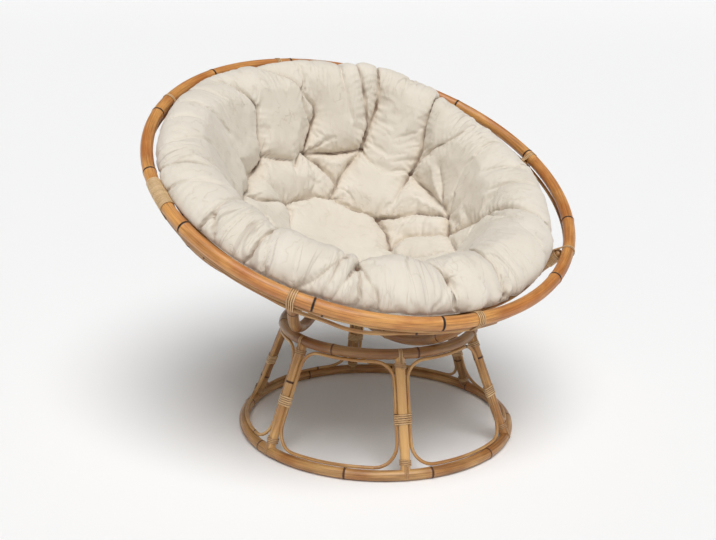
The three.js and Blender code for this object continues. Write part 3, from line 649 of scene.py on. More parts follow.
def cane_material(name, *colours, rough=0.4, coat=0.12):
    """Peeled or whole cane: long fibres, soft mottling, a few flecks and dark node rings, with painted light
    and shade from the tone and painted shade along strip edges.
    """
    light, middle, dark, scar_and_shade = (rgb(*colour) for colour in colours)
    paint = Paint(name)
    place = paint.attribute("cane", "Vector")
    scars_and_shade = paint.attribute("scar_and_shade")
    tone = paint.attribute("tone")
    streaks = paint.noise(place, 1, 5, (9, 420, 420), 0.6)
    fibres = paint.noise(place, 1, 3, (30, 1500, 1500), 0.7)
    patches = paint.noise(place, 14, 4, (0.55, 1, 1), 0.55)
    blotches = paint.noise(place, 1, 3, (60, 200, 200), 0.6)
    stains = paint.noise(place, 1, 4, (8, 70, 70), 0.6)
    broken = paint.calculate("MULTIPLY", scars_and_shade, paint.remap(blotches, 0.2, 0.5, 0.7, 1.2))
    base = paint.mix(paint.remap(patches, 0.4, 0.6), middle, light)
    colour = paint.coats(base, (
        (stains, 0.5, 0.74, 0.6, dark),
        (streaks, 0.44, 0.7, 0.75, dark),
        (fibres, 0.46, 0.8, 0.4, dark),
        (blotches, 0.68, 0.78, 0.55, dark),
        # Darker or lighter by the tone: each rod's random tone, plus painted shade and painted light on some
        # rods and lashings.
        (tone, -1, 4, 0.9, dark),
        (tone, -0.5, -3.5, 0.75, light),
        # Dark node rings on rods; on strips, painted shade along their edges.
        (broken, 0.2, 0.6, 1, scar_and_shade),
    ))
    dull = paint.remap(fibres, 0.3, 0.8, rough - 0.06, rough + 0.14)
    paint.fill(paint.shader, {
        "Base Color": colour,
        "Roughness": paint.calculate("MAXIMUM", dull, scars_and_shade),
        "Coat Weight": coat,
        "Coat Roughness": 0.28,
        "Normal": paint.bump(0.22, 0.0006, paint.calculate("ADD", streaks, fibres)),
    })
    return paint.material


# Light, middle and dark colours and that of the scars, by slot.
CANE_COLOURS = {
    "rim_cane": ((222, 162, 90), (186, 114, 53), (112, 58, 22), (30, 12, 5)),
    "cane": ((216, 170, 108), (180, 124, 66), (92, 52, 24), (74, 40, 19)),
    "thin_cane": ((222, 178, 114), (188, 136, 78), (112, 66, 30), (60, 32, 15)),
}
# For the peel, the last colour is the painted shade along the strips' edges.
PEEL_COLOURS = ((238, 208, 160), (220, 180, 126), (150, 104, 60), (128, 84, 46))
canes = {slot: cane_material(slot, *colours) for slot, colours in CANE_COLOURS.items()}
peel_cane = cane_material("peel", *PEEL_COLOURS, rough=0.45, coat=0.1)


# Stand.
def cone_radius(distance):
    return BASE_RING_RADIUS + (TOP_RING_RADIUS - BASE_RING_RADIUS) * distance / leg_length


def cone_point(angle, distance):
    """A point of the cone between the rings' centre lines, at a distance up its slope."""
    point = np.array((math.sin(angle), -math.cos(angle), 0.0)) * cone_radius(distance)
    point[1] += SPHERE_CENTRE.y
    point[2] = leg_foot_height + (TOP_RING_HEIGHT - leg_foot_height) * distance / leg_length
    return point


def flat_ring(radius, height):
    def path(shares):
        angles = math.tau * shares
        x, y = radius * np.cos(angles), radius * np.sin(angles) + SPHERE_CENTRE.y
        return np.stack((x, y, np.full(len(shares), height)), 1)

    return path


def leg_frame(angle):
    """The leg's own directions across, inward and up, and the point where it leaves the base ring."""
    foot = cone_point(angle, 0)
    up = cone_point(angle, leg_length) - foot
    up /= np.linalg.norm(up)
    across = np.array((math.cos(angle), math.sin(angle), 0.0))
    return across, np.cross(up, across), up, foot


def loop_path(middle):
    """The closed loop of thin rod in one window, as a function of shares."""
    low = BASE_ROD_RADIUS + ROD_GAP + LOOP_ROD_RADIUS
    high = leg_length - TOP_ROD_RADIUS - ROD_GAP - LOOP_ROD_RADIUS
    half_window = math.pi / LEG_COUNT
    points = []

    def place(side, distance, inset):
        angle = half_window - math.asin((loop_offset + inset) / cone_radius(distance))
        points.append(cone_point(middle + side * angle, distance))

    def corner(side, radius, level, direction, rising):
        for i in range(CORNER_STEPS + 1):
            turn = (i / CORNER_STEPS if rising else 1 - i / CORNER_STEPS) * math.pi / 2
            place(side, level + direction * radius * (1 - math.sin(turn)), radius * (1 - math.cos(turn)))

    def edge(level, radius, steps, start):
        reach = half_window - math.asin((loop_offset + radius) / cone_radius(level))
        for i in range(1, steps):
            points.append(cone_point(middle + start * (1 - 2 * i / steps) * reach, level))

    corner(1, LOOP_LOW_CORNER, low, 1, False)
    corner(1, LOOP_HIGH_CORNER, high, -1, True)
    edge(high, LOOP_HIGH_CORNER, HIGH_EDGE_STEPS, 1)
    corner(-1, LOOP_HIGH_CORNER, high, -1, False)
    corner(-1, LOOP_LOW_CORNER, low, 1, True)
    edge(low, LOOP_LOW_CORNER, LOW_EDGE_STEPS, -1)
    points.append(points[0])
    ring = np.array(points)
    runs = run_lengths(ring)

    def path(shares):
        return np.stack([np.interp(shares * runs[-1], runs, ring[:, i]) for i in range(3)], 1)

    return path


def from_leg(points, frame_of_leg):
    """Points of a leg's own frame, in the row frame."""
    across, inward, up, foot = frame_of_leg
    return foot + points @ np.array((across, inward, up))


def mid_lashing(name, angle):
    strips = Strips(name)
    discs = [(side * loop_offset, 0, LOOP_ROD_RADIUS + PEEL_GAP) for side in (-1, 1)]
    discs.append((0, 0, LEG_RADIUS + PEEL_GAP))
    outline, normals = hull_outline(discs, MID_START, MID_START + math.tau * MID_TURNS, 48 * MID_TURNS)
    height = MID_LASHING_HEIGHT + MID_PITCH * np.linspace(-MID_TURNS / 2, MID_TURNS / 2, len(outline))
    outs = np.column_stack((normals, np.zeros(len(normals))))
    strips.add(np.column_stack((outline, height)), outs, MID_WIDTH)
    frame_of_leg = leg_frame(angle)
    strips.make("stand", lambda p: from_leg(p, frame_of_leg))


def end_lashing(name, angle, ring_radius, rod_angles, at_top):
    """Straps over the ring beside a leg's end, bound by turns round the leg."""
    strips = Strips(name, END_LASHING_PAINTED_SHADE)
    wrap = ring_radius + PEEL_GAP
    tail = LEG_RADIUS + PEEL_GAP
    far = END_NEAR + END_PITCH * END_TURNS + END_WIDTH / 2
    angles = np.linspace(*rod_angles, 14)
    for i in range(3):
        side = (i - 1) * STRAP_PITCH
        lift = math.sqrt(LEG_RADIUS**2 - side**2) - LEG_RADIUS
        ring = [(side, -wrap * math.cos(a), wrap * math.sin(a)) for a in angles]
        outs = [(0, -math.cos(a), math.sin(a)) for a in angles]
        for height in np.linspace(END_NEAR - STRAP_LEAD, far, 6):
            ring.append((side, -tail - lift, height))
            outs.append((side / LEG_RADIUS, -1, 0))
        strips.add(ring, outs, STRAP_WIDTH)
    turns = np.linspace(0, math.tau * END_TURNS, 30 * END_TURNS)
    radius = LEG_RADIUS + PEEL_GAP + PEEL_THICKNESS
    outs = np.column_stack((np.sin(turns), -np.cos(turns), np.zeros(len(turns))))
    height = END_NEAR + END_WIDTH / 2 + END_PITCH * turns / math.tau
    strips.add(outs * radius + np.column_stack((turns * 0, turns * 0, height)), outs, END_WIDTH)
    across, inward, up, foot = leg_frame(angle)
    if at_top:
        foot = foot + up * leg_length
        across, up = -across, -up
    strips.make("stand", lambda p: from_leg(p, (across, inward, up, foot)))


def make_leg(number, angle):
    """A leg, the loop in the window beside it and the leg's three lashings."""
    def path(shares):
        start, end = cone_point(angle, LEG_END_GAP), cone_point(angle, leg_length - LEG_END_GAP)
        return start + (end - start) * shares[:, None]

    i = number - 1
    rod(f"base_leg_{number}", path, LEG_RADIUS, "cane", "stand", nodes=[LEG_NODE_SHARES[i]],
        tone=LEG_PAINTED_LIGHT_AND_SHADE[i])
    loop = loop_path(angle + math.pi / LEG_COUNT)
    rod(f"base_loop_{number}", loop, LOOP_ROD_RADIUS, "thin_cane", "stand", True, [(0.31 + 0.17 * i) % 1],
        THIN_SIDES, THIN_SWAY, LOOP_STEP)
    mid_lashing(f"leg_mid_lashing_{number}", angle)
    slope = math.atan2(BASE_RING_RADIUS - TOP_RING_RADIUS, TOP_RING_HEIGHT - leg_foot_height)
    low, high = slope - BASE_STRAP_REACH, -TOP_STRAP_REACH
    end_lashing(f"leg_base_lashing_{number}", angle, BASE_ROD_RADIUS, (low, STRAP_END), False)
    end_lashing(f"leg_top_lashing_{number}", angle, TOP_ROD_RADIUS, (high, STRAP_END), True)


def make_stand():
    base, top = flat_ring(BASE_RING_RADIUS, leg_foot_height), flat_ring(TOP_RING_RADIUS, TOP_RING_HEIGHT)
    base_nodes = [d / 360 for d in BASE_NODE_DEGREES]
    top_nodes = [d / 360 for d in TOP_NODE_DEGREES]
    rod("base_bottom_ring", base, BASE_ROD_RADIUS, "cane", "stand", True, base_nodes, sway=0,
        tone=BASE_RING_TONE)
    rod("base_top_ring", top, TOP_ROD_RADIUS, "cane", "stand", True, top_nodes, sway=0,
        tone=TOP_RING_PAINTED_SHADE)
    for i in range(LEG_COUNT):
        make_leg(i + 1, FIRST_LEG_ANGLE + math.tau * i / LEG_COUNT)


# Bowl, in a frame with its origin at the sphere's centre and z out of the bowl's mouth.
bowl_turn = np.array(Matrix.Rotation(BOWL_TILT, 3, "X"))


def from_bowl(points):
    return np.asarray(points) @ bowl_turn.T + np.array(SPHERE_CENTRE)


def sphere_points(radius, polar, angle):
    reach = radius * np.sin(polar)
    parts = reach * np.cos(angle), reach * np.sin(angle), -radius * np.cos(polar)
    return np.stack(np.broadcast_arrays(*parts), -1)


def sphere_ring(radius, polar):
    return lambda shares: from_bowl(sphere_points(radius, polar, math.tau * shares))


def profile_disc(radius, polar, rod_radius):
    return (radius * math.sin(polar), -radius * math.cos(polar), rod_radius + PEEL_GAP)


def outer_rod_course(shares):
    """The outer rod's polar angle and its angle round the bowl, at shares of its length."""
    angles = OUTER_ROD_START - shares * (math.tau + OUTER_ROD_LAP)
    sag = smooth_table(OUTER_SAG, np.degrees(angles) % 360, 1, 360) * (shares < 0.5)
    polar = OUTER_ROD_HIGH_POLAR - OUTER_ROD_DROP / outer_rod_sphere * (1 - shares) + np.radians(sag)
    return polar, angles


def outer_rod_path(shares):
    return from_bowl(sphere_points(outer_rod_sphere, *outer_rod_course(shares)))


def rim_lashing(name, angle, count, pitch, width, shade=0):
    """Strips over the outer rod, the rim and the inner rod, side by side along the rim."""
    strips = Strips(name, shade)
    discs = [
        (RIM_RADIUS, -RIM_BELOW_CENTRE, RIM_ROD_RADIUS * 1.02 + PEEL_GAP),
        profile_disc(inner_rod_sphere, INNER_ROD_POLAR, THIN_ROD_RADIUS),
    ]
    for lap in range(3):
        share = (OUTER_ROD_START - angle + math.tau * (lap - 1)) / (math.tau + OUTER_ROD_LAP)
        if 0 <= share <= 1:
            polar, _ = outer_rod_course(np.array([share]))
            discs.append(profile_disc(outer_rod_sphere, float(polar[0]), THIN_ROD_RADIUS))
    outline, normals = hull_outline(discs, RIM_STRIP_START, RIM_STRIP_END, 64)
    for i in range(count):
        turn = angle + pitch * (i - (count - 1) / 2) / RIM_RADIUS
        plane = np.array(((math.cos(turn), math.sin(turn), 0), (0, 0, 1)))
        strips.add(outline @ plane, normals @ plane, width)
    strips.make("bowl", from_bowl)


def rib_wrap(name, angle):
    """Thin strip wound close round a rib's end beside the rim."""
    strips = Strips(name)
    turns = np.linspace(0, math.tau * RIB_WRAP_TURNS, 24 * RIB_WRAP_TURNS)
    end = rim_polar - 1.35 * RIM_ROD_RADIUS / RIB_SPHERE_RADIUS
    polar = end - RIB_WRAP_PITCH * turns / math.tau / RIB_SPHERE_RADIUS
    centre = sphere_points(RIB_SPHERE_RADIUS, polar, angle)
    side = np.array((-math.sin(angle), math.cos(angle), 0.0))
    outs = centre / RIB_SPHERE_RADIUS * np.cos(turns)[:, None] + side * np.sin(turns)[:, None]
    strips.add(centre + outs * (RIB_ROD_RADIUS * 1.03 + PEEL_GAP), outs, RIB_WRAP_PITCH * 0.93)
    strips.make("bowl", from_bowl, False)


def make_rib(number, angle):
    end = rim_polar - 0.9 * RIM_ROD_RADIUS / RIB_SPHERE_RADIUS

    def path(shares):
        return from_bowl(sphere_points(RIB_SPHERE_RADIUS, hub_polar + (end - hub_polar) * shares, angle))

    rod(f"bowl_rib_{number}", path, RIB_ROD_RADIUS - ROD_PLAY, "cane", "bowl",
        nodes=RIB_NODE_SHARES[number - 1], sway=ROD_PLAY, taper=RIB_END_TAPER, tone=RIB_PAINTED_SHADE)


def make_bowl():
    rim = sphere_ring(math.hypot(RIM_RADIUS, RIM_BELOW_CENTRE), rim_polar)
    hub = sphere_ring(RIB_SPHERE_RADIUS, hub_polar)
    inner = sphere_ring(inner_rod_sphere, INNER_ROD_POLAR)
    rim_nodes = [d / 360 for d in RIM_NODE_DEGREES]
    rod("bowl_rim", rim, RIM_ROD_RADIUS, "rim_cane", "bowl", True, rim_nodes, RIM_SIDES, RIM_SWAY)
    rod("bowl_hub_ring", hub, HUB_ROD_RADIUS, "cane", "bowl", True, HUB_NODE_SHARES, tone=HUB_PAINTED_SHADE)
    rod("bowl_inner_rod", inner, THIN_ROD_RADIUS, "thin_cane", "bowl", True, INNER_NODE_SHARES, THIN_SIDES,
        THIN_SWAY)
    rod("bowl_outer_rod", outer_rod_path, THIN_ROD_RADIUS, "thin_cane", "bowl", False, OUTER_NODE_SHARES,
        THIN_SIDES, THIN_SWAY)
    for i in range(RIB_COUNT):
        number, angle = i + 1, FIRST_RIB_ANGLE + math.tau * i / RIB_COUNT
        make_rib(number, angle)
        if i == SPLICE_RIB:
            rim_lashing("rim_splice_wrap", angle, SPLICE_COUNT, SPLICE_PITCH, SPLICE_WIDTH, SPLICE_TONE)
        else:
            rim_lashing(f"rim_lashing_{number}", angle, RIM_PEEL_COUNTS[i], RIM_PEEL_PITCH, RIM_PEEL_WIDTH)
        if number == WRAPPED_RIB:
            rib_wrap(f"rib_wrap_{number}", angle)


# Cushion.
TABLE_STEPS = 4000
TABLE_PAD = 60
OPEN_WINDOW = 81
CLOSED_WINDOW = 31


def smooth_table(table, places, column, period=None):
    """A column of a table, read between its rows along a soft curve."""
    keys = np.array([row[0] for row in table], float)
    values = np.array([row[column] for row in table], float)
    if period:
        keys = np.concatenate((keys - period, keys, keys + period))
        values = np.tile(values, 3)
    fine = np.linspace(keys[0], keys[-1], TABLE_STEPS + 1)
    window = np.hanning(CLOSED_WINDOW if period else OPEN_WINDOW)
    curve = np.pad(np.interp(fine, keys, values), TABLE_PAD, "edge")
    curve = np.convolve(curve, window / window.sum(), "same")[TABLE_PAD:-TABLE_PAD]
    return np.interp(np.mod(places, period) if period else places, fine, curve)


def cushion_profile():
    """The mean top from the middle over the edge to its underside: distance, radius and height."""
    dish = np.linspace(0, DISH_EDGE, PROFILE_STEPS)
    turns = np.linspace(ROLL_START, ROLL_END, PROFILE_STEPS)
    radius = np.concatenate((dish, ROLL_CENTRE + ROLL_RADIUS * np.cos(turns)))
    dish_height = RIM_BELOW_CENTRE - np.sqrt(DISH_RADIUS**2 - dish**2)
    height = np.concatenate((dish_height, ROLL_ABOVE_RIM + ROLL_RADIUS * np.sin(turns)))
    runs = np.concatenate(([0], np.cumsum(np.hypot(np.diff(radius), np.diff(height)))))
    places = np.linspace(0, runs[-1], PROFILE_POINTS)
    line = np.stack((np.interp(places, runs, radius), np.interp(places, runs, height)), 1)
    for _ in range(PROFILE_SMOOTHINGS):
        line[1:-1] = line[:-2] / 4 + line[1:-1] / 2 + line[2:] / 4
    return run_lengths(line), line


profile_runs, profile_line = cushion_profile()
edge_run = profile_runs[np.argmax(profile_line[:, 0])]


def unrolled(points):
    """Places on the cloth laid flat, of points given as degrees and percents of the way to the edge."""
    angle, share = np.radians([p[0] for p in points]), np.array([p[1] / 100 for p in points])
    return np.array((np.cos(angle), np.sin(angle))).T * (share * edge_run)[..., None]


tuft_places = unrolled(TUFTS)


def crease_depth(places):
    """How deep the network of creases and sewn points is at each unrolled place, from 0 to 1."""
    depth = np.zeros(len(places))
    for tuft in tuft_places:
        away = np.linalg.norm(places - tuft, axis=1)
        depth = np.maximum(depth, np.exp(-away / TUFT_REACH))
    narrow = 1 - 0.3 * ramp(np.linalg.norm(places, axis=1) / edge_run, 0.75, 0.15)
    for away, run, strength, width in crease_lines(places):
        depth = np.maximum(depth, strength * np.exp(-((away / (narrow * width / 1000)) ** CREASE_SHARPNESS)))
    return depth


def crease_lines(places):
    """For each crease: how far the places lie from it, how far along it, its strength there and its width."""
    for width, start, end, *points in CREASES:
        line = unrolled(points)
        steps = len(line) - 1
        nearest = np.full(len(places), np.inf)
        along, strength, passed = np.zeros(len(places)), np.zeros(len(places)), 0
        for i in range(steps):
            leg = line[i + 1] - line[i]
            share = np.clip((places - line[i]) @ leg / (leg @ leg), 0, 1)
            away = np.linalg.norm(places - line[i] - share[:, None] * leg, axis=1)
            closer = away < nearest
            nearest[closer] = away[closer]
            along[closer] = passed + share[closer] * np.linalg.norm(leg)
            strength[closer] = start + (end - start) * (i + share[closer]) / steps
            passed += np.linalg.norm(leg)
        yield nearest, along, strength, width


def soft_noise(x, y, seed):
    """Smooth noise from -1 to 1 over a plane, with one bump or hollow a unit."""
    def corner(i, j):
        value = np.sin(i * 127.1 + j * 311.7 + seed * 74.7) * 43758.5453
        return 2 * (value - np.floor(value)) - 1

    i, j = np.floor(x), np.floor(y)
    u, v = softened(x - i), softened(y - j)
    low = corner(i, j) * (1 - u) + corner(i + 1, j) * u
    high = corner(i, j + 1) * (1 - u) + corner(i + 1, j + 1) * u
    return low * (1 - v) + high * v


def tuft_rays(places, number, tuft):
    """The wrinkles that run out from one sewn point, and the painted shade at its knot and along the sharp
    lines beside it.
    """
    step = places - tuft
    away = np.linalg.norm(step, axis=1)
    turn = np.arctan2(step[:, 1], step[:, 0])
    rays = np.cos(turn * (7 + number % 4) + 2.4 * soft_noise(turn * 1.3, away / 0.05, number))
    patch = 0.55 + 0.45 * soft_noise(turn * 0.8, away * 0, number + 40)
    height = RAY_HEIGHT * patch * rays * np.exp(-away / RAY_REACH) * (1 - np.exp(-away / 0.01))
    lines = 0.75 * np.clip(-rays, 0, 1) ** 8 * np.clip(patch * 1.6 - 0.4, 0, 1)
    return height, np.maximum(bell(away, KNOT_WIDTH), lines * np.exp(-away / RAY_LINE_REACH))


def crease_gathers(number, away, run, strength):
    """The gathers across one crease, and the sharp line along it, dented into the cloth and painted as shade.
    """
    sway = 1.6 * soft_noise(run / 0.05, away / 0.04, number + 80)
    patch = 0.5 + 0.5 * soft_noise(run / 0.04, away * 0, number + 120)
    gather = np.cos(math.tau * run / GATHER_PITCH + sway) * patch
    near = np.exp(-away / GATHER_REACH) * (1 - np.exp(-away / 0.006))
    line = strength * bell(away, FOLD_LINE_WIDTH) * (0.75 + 0.35 * soft_noise(run / 0.03, away * 0, number))
    return GATHER_HEIGHT * strength * gather * near, line


def edge_wrinkles(places):
    """The wrinkles that run over the thick edge, the painted shade along their sharp lines, and the broad
    folds at the front.
    """
    run = np.linalg.norm(places, axis=1)
    turn = np.arctan2(places[:, 1], places[:, 0])
    share, round_edge = run / edge_run, turn * edge_run
    near_edge = ramp(share, 0.66, 0.2)
    sway = 1.5 * soft_noise(turn * 9, run / 0.07, 5)
    lines = soft_noise(round_edge / EDGE_LINE_PITCH + sway, run / 0.085, 6)
    patch = np.clip(0.35 + 0.9 * soft_noise(turn * 4, run / 0.1, 7), 0, 1)
    crease_shade = 0.45 * near_edge * np.clip(patch * 1.6 - 0.3, 0, 1) * bell(lines + 0.3, 0.22)
    front = np.clip(1.5 - np.abs((np.degrees(turn) % 360) - FRONT_DEGREES) / 50, 0, 1)
    sway = 1.2 * soft_noise(turn * 6, run / 0.05, 9)
    folds = soft_noise(round_edge / FRONT_FOLD_PITCH + sway, run / 0.16, 10)
    height = EDGE_LINE_HEIGHT * near_edge * patch * lines
    return height, FRONT_FOLD_HEIGHT * front * ramp(share, 0.86, 0.16) * folds, crease_shade


def wrinkles(places):
    """The height of the fine wrinkles at each unrolled place, and how much painted shade of sharp creases and
    sewn points lies there.
    """
    height, crease_shade = np.zeros(len(places)), np.zeros(len(places))
    for seed, (rise, size) in enumerate(RUMPLES):
        height += rise * soft_noise(places[:, 0] / size, places[:, 1] / size, seed + 1)
    for number, tuft in enumerate(tuft_places):
        rays, lines = tuft_rays(places, number, tuft)
        height += rays
        crease_shade = np.maximum(crease_shade, lines)
    for number, (away, run, strength, _) in enumerate(crease_lines(places)):
        gathers, line = crease_gathers(number, away, run, strength)
        height += gathers
        height -= FOLD_LINE_DEPTH * line
        crease_shade = np.maximum(crease_shade, line)
    lines, folds, edge_crease_shade = edge_wrinkles(places)
    height += lines
    height += folds
    return height, np.maximum(crease_shade, edge_crease_shade)


def refined(points, cells):
    """The same square sheet with twice as many cells, through the same points along soft curves."""
    grid = points.reshape(cells + 1, cells + 1, -1)
    for _ in range(2):
        before, after = 2 * grid[:1] - grid[1:2], 2 * grid[-1:] - grid[-2:-1]
        wide = np.concatenate((before, grid, after))
        fine = np.empty((2 * len(grid) - 1, *grid.shape[1:]))
        fine[0::2] = grid
        fine[1::2] = (9 * (wide[1:-2] + wide[2:-1]) - wide[:-3] - wide[3:]) / 16
        grid = fine.swapaxes(0, 1)
    return grid.reshape(-1, grid.shape[-1])


def sheet_normals(points, cells):
    grid = points.reshape(cells + 1, cells + 1, 3)
    normals = np.cross(np.gradient(grid, axis=0), np.gradient(grid, axis=1)).reshape(-1, 3)
    return normals / np.maximum(np.linalg.norm(normals, axis=1), 1e-12)[:, None]


def cushion_top(places):
    """Points of the cloth's top for unrolled places, in the bowl's frame, and their depth in a crease."""
    run = np.linalg.norm(places, axis=1)
    angle = np.arctan2(places[:, 1], places[:, 0])
    degrees, share = np.degrees(angle) % 360, run / edge_run
    blend = softened(ramp(share, 0.45, 0.4))
    out = smooth_table(EDGE_FORM, degrees, 1, 360) * blend / 1000
    up = smooth_table(EDGE_FORM, degrees, 2, 360) * blend / 1000
    radius = np.interp(run, profile_runs, profile_line[:, 0])
    height = np.interp(run, profile_runs, profile_line[:, 1])
    out += smooth_table(EDGE_FULL, degrees, 1, 360) * ramp(radius, ROLL_CENTRE, ROLL_RADIUS) / 1000
    slope = np.gradient(profile_line, profile_runs, axis=0)
    normal_out = -np.interp(run, profile_runs, slope[:, 1])
    normal_up = np.interp(run, profile_runs, slope[:, 0])
    depth = crease_depth(places)
    lift = smooth_table(LOBE_FORM, share, 1) - smooth_table(LOBE_FORM, share, 2) * depth
    size = np.hypot(normal_out, normal_up)
    radius = radius + out + lift / 1000 * normal_out / size
    height = height + up + lift / 1000 * normal_up / size
    x = radius * np.cos(angle) + CUSHION_SHIFT[0] * blend
    y = radius * np.sin(angle) + CUSHION_SHIFT[1] * blend
    return np.stack((x, y, height - RIM_BELOW_CENTRE), 1), depth


def disc_grid(cells):
    """A square grid of points laid on a disc of radius 1, its faces, and its outer points in order."""
    line = np.linspace(-1, 1, cells + 1)
    x, y = np.meshgrid(line, line, indexing="ij")
    x, y = x.ravel(), y.ravel()
    reach = np.maximum(np.abs(x), np.abs(y))
    with np.errstate(divide="ignore", invalid="ignore"):
        flat = np.abs(x) >= np.abs(y)
        turn = np.where(flat, y / x, x / y) * math.pi / 4
        u = np.where(flat, np.sign(x) * reach * np.cos(turn), reach * np.sin(turn) * np.sign(y))
        v = np.where(flat, np.sign(x) * reach * np.sin(turn), reach * np.cos(turn) * np.sign(y))
    places = np.nan_to_num(np.stack((u, v), 1))
    row = cells + 1
    faces = [
        (i * row + j, (i + 1) * row + j, (i + 1) * row + j + 1, i * row + j + 1)
        for i in range(cells) for j in range(cells)
    ]
    edge = np.flatnonzero(reach > 1 - 1e-9)
    edge = edge[np.argsort(np.arctan2(places[edge, 1], places[edge, 0]))]
    return places, faces, edge


def keep_clear(points):
    """Moves points of the cushion out of the rim, the strips on it, the inner rod and the ribs."""
    points = points.copy()
    radius = np.hypot(points[:, 0], points[:, 1])
    away = np.stack((radius - RIM_RADIUS, points[:, 2] + RIM_BELOW_CENTRE), 1)
    gap = np.linalg.norm(away, axis=1)
    push = np.where(gap < RIM_CLEAR, RIM_CLEAR / np.maximum(gap, 1e-6), 1)
    place = np.stack((RIM_RADIUS + away[:, 0] * push, away[:, 1] * push - RIM_BELOW_CENTRE), 1)
    above = RIM_CLEAR + STRIP_FADE - RIM_BELOW_CENTRE - place[:, 1]
    below = np.clip(above / STRIP_FADE, 0, 1) * (place[:, 1] > strip_low[1])
    short = np.maximum(strip_low @ strip_normal - place @ strip_normal, 0) * below
    place += short[:, None] * strip_normal
    points[:, :2] *= (place[:, 0] / np.maximum(radius, 1e-6))[:, None]
    points[:, 2] = place[:, 1]
    size = np.linalg.norm(points, axis=1)
    polar = np.arccos(np.clip(-points[:, 2] / np.maximum(size, 1e-6), -1, 1))
    near_rod = np.clip((polar - INNER_ROD_POLAR + INNER_ROD_LEAD) / INNER_ROD_FADE, 0, 1)
    limit = UNDER_RADIUS + (EDGE_LIMIT - UNDER_RADIUS) * near_rod
    limit = np.where(points[:, 2] > strip_low[1], 1, limit)
    return points * np.minimum(limit / np.maximum(size, 1e-6), 1)[:, None]


def relaxed_cloth(points, faces, weights):
    """Lets the cloth swell and wrinkle between its sewn points, in steps of one short simulation."""
    cloth = add_mesh("cloth", points, faces)
    group = cloth.vertex_groups.new(name="held")
    for level in np.unique(np.round(weights, 2)):
        group.add(np.flatnonzero(np.round(weights, 2) == level).tolist(), float(level), "REPLACE")
    modifier = cloth.modifiers.new("cloth", "CLOTH")
    for key, value in CLOTH_SETTINGS.items():
        setattr(modifier.settings, key, value)
    modifier.settings.vertex_group_mass = group.name
    modifier.settings.effector_weights.gravity = 0
    modifier.collision_settings.use_collision = False
    modifier.point_cache.frame_start = 1
    modifier.point_cache.frame_end = CLOTH_FRAMES
    for frame_number in range(1, CLOTH_FRAMES + 1):
        scene.frame_set(frame_number)
    moved = np.empty(len(points) * 3, np.float32)
    shown = cloth.evaluated_get(bpy.context.evaluated_depsgraph_get())
    shown.data.vertices.foreach_get("co", moved)
    scene.frame_set(1)
    bpy.data.objects.remove(cloth)
    step = moved.reshape(-1, 3) - points
    size = np.linalg.norm(step, axis=1)
    return points + step * np.minimum(1, CLOTH_CAP / np.maximum(size, 1e-9))[:, None]


def held_weights(places, depth, edge):
    """How firmly each point of the cloth is held: the edge and the sewn points fully, the creases partly."""
    weights = np.zeros(len(places))
    weights[edge] = 1
    for tuft in tuft_places:
        weights[np.linalg.norm(places - tuft, axis=1) < SEWN_RADIUS] = 1
    weights[(depth > CREASE_HELD_FROM) & (weights < 1)] = CREASE_HOLD
    return weights


def underside(first):
    """Rows of points below the cloth's outer points, each row with its part of them, towards the middle."""
    size = np.linalg.norm(first, axis=1)
    polar = np.arctan2(np.hypot(first[:, 0], first[:, 1]), -first[:, 2])
    turn = np.arctan2(first[:, 1], first[:, 0])
    for i, (rest, skip) in enumerate(UNDER_ROWS):
        ease = min((i + 1) / 3, 1)
        drawn = smooth_table(UNDER_DRAWN, np.degrees(turn), 1, 360) * ramp(rest, 0.3, 0.3) / 1000
        yield sphere_points(size + (UNDER_RADIUS - drawn - size) * ease, polar * rest, turn)[::skip]


def row_faces(high, low):
    """Faces from one row of points to the next, which has as many points or a part of them."""
    step = len(high) // len(low)
    for j in range(len(low)):
        upper = [int(high[(step * j + k) % len(high)]) for k in range(step, -1, -1)]
        yield (*upper, int(low[j]), int(low[(j + 1) % len(low)]))


def make_cushion():
    places, faces, edge = disc_grid(CUSHION_CELLS)
    places = places * profile_runs[-1]
    points, depth = cushion_top(places)
    points = relaxed_cloth(keep_clear(points), faces, held_weights(places, depth, edge))
    points = refined(points, CUSHION_CELLS)
    places, faces, edge = disc_grid(2 * CUSHION_CELLS)
    places = places * profile_runs[-1]
    # The crease depth of the fine sheet, laid on the cloth as painted shade in the folds.
    depth = crease_depth(places)
    height, crease_shade = wrinkles(places)
    points += sheet_normals(points, 2 * CUSHION_CELLS) * height[:, None]
    points = keep_clear(points)
    row, count, under = edge, len(points), list(underside(points[edge]))
    for lower in under:
        below = count + np.arange(len(lower))
        faces += row_faces(row, below)
        row, count = below, count + len(lower)
    faces.append(tuple(int(k) for k in row[::-1]))
    under = keep_clear(np.concatenate(under))
    unroll = np.concatenate((places, under[:, :2]))
    none = np.zeros(len(under))
    run = np.linalg.norm(unroll, axis=1)
    lay = np.column_stack((unroll / np.maximum(run, 1e-6)[:, None], run))
    lay[len(points):, 2] = 0
    data = {
        "weave": np.column_stack((unroll, np.zeros(len(unroll)))),
        "lay": lay,
        "fold_shade": np.concatenate((depth, none)),
        "crease_shade": np.concatenate((crease_shade, none)),
    }
    everything = from_bowl(np.concatenate((points, under)))
    piece = make_piece("cushion_cloth", everything, faces, canvas, "cushion", data)
    stand_in("cushion")


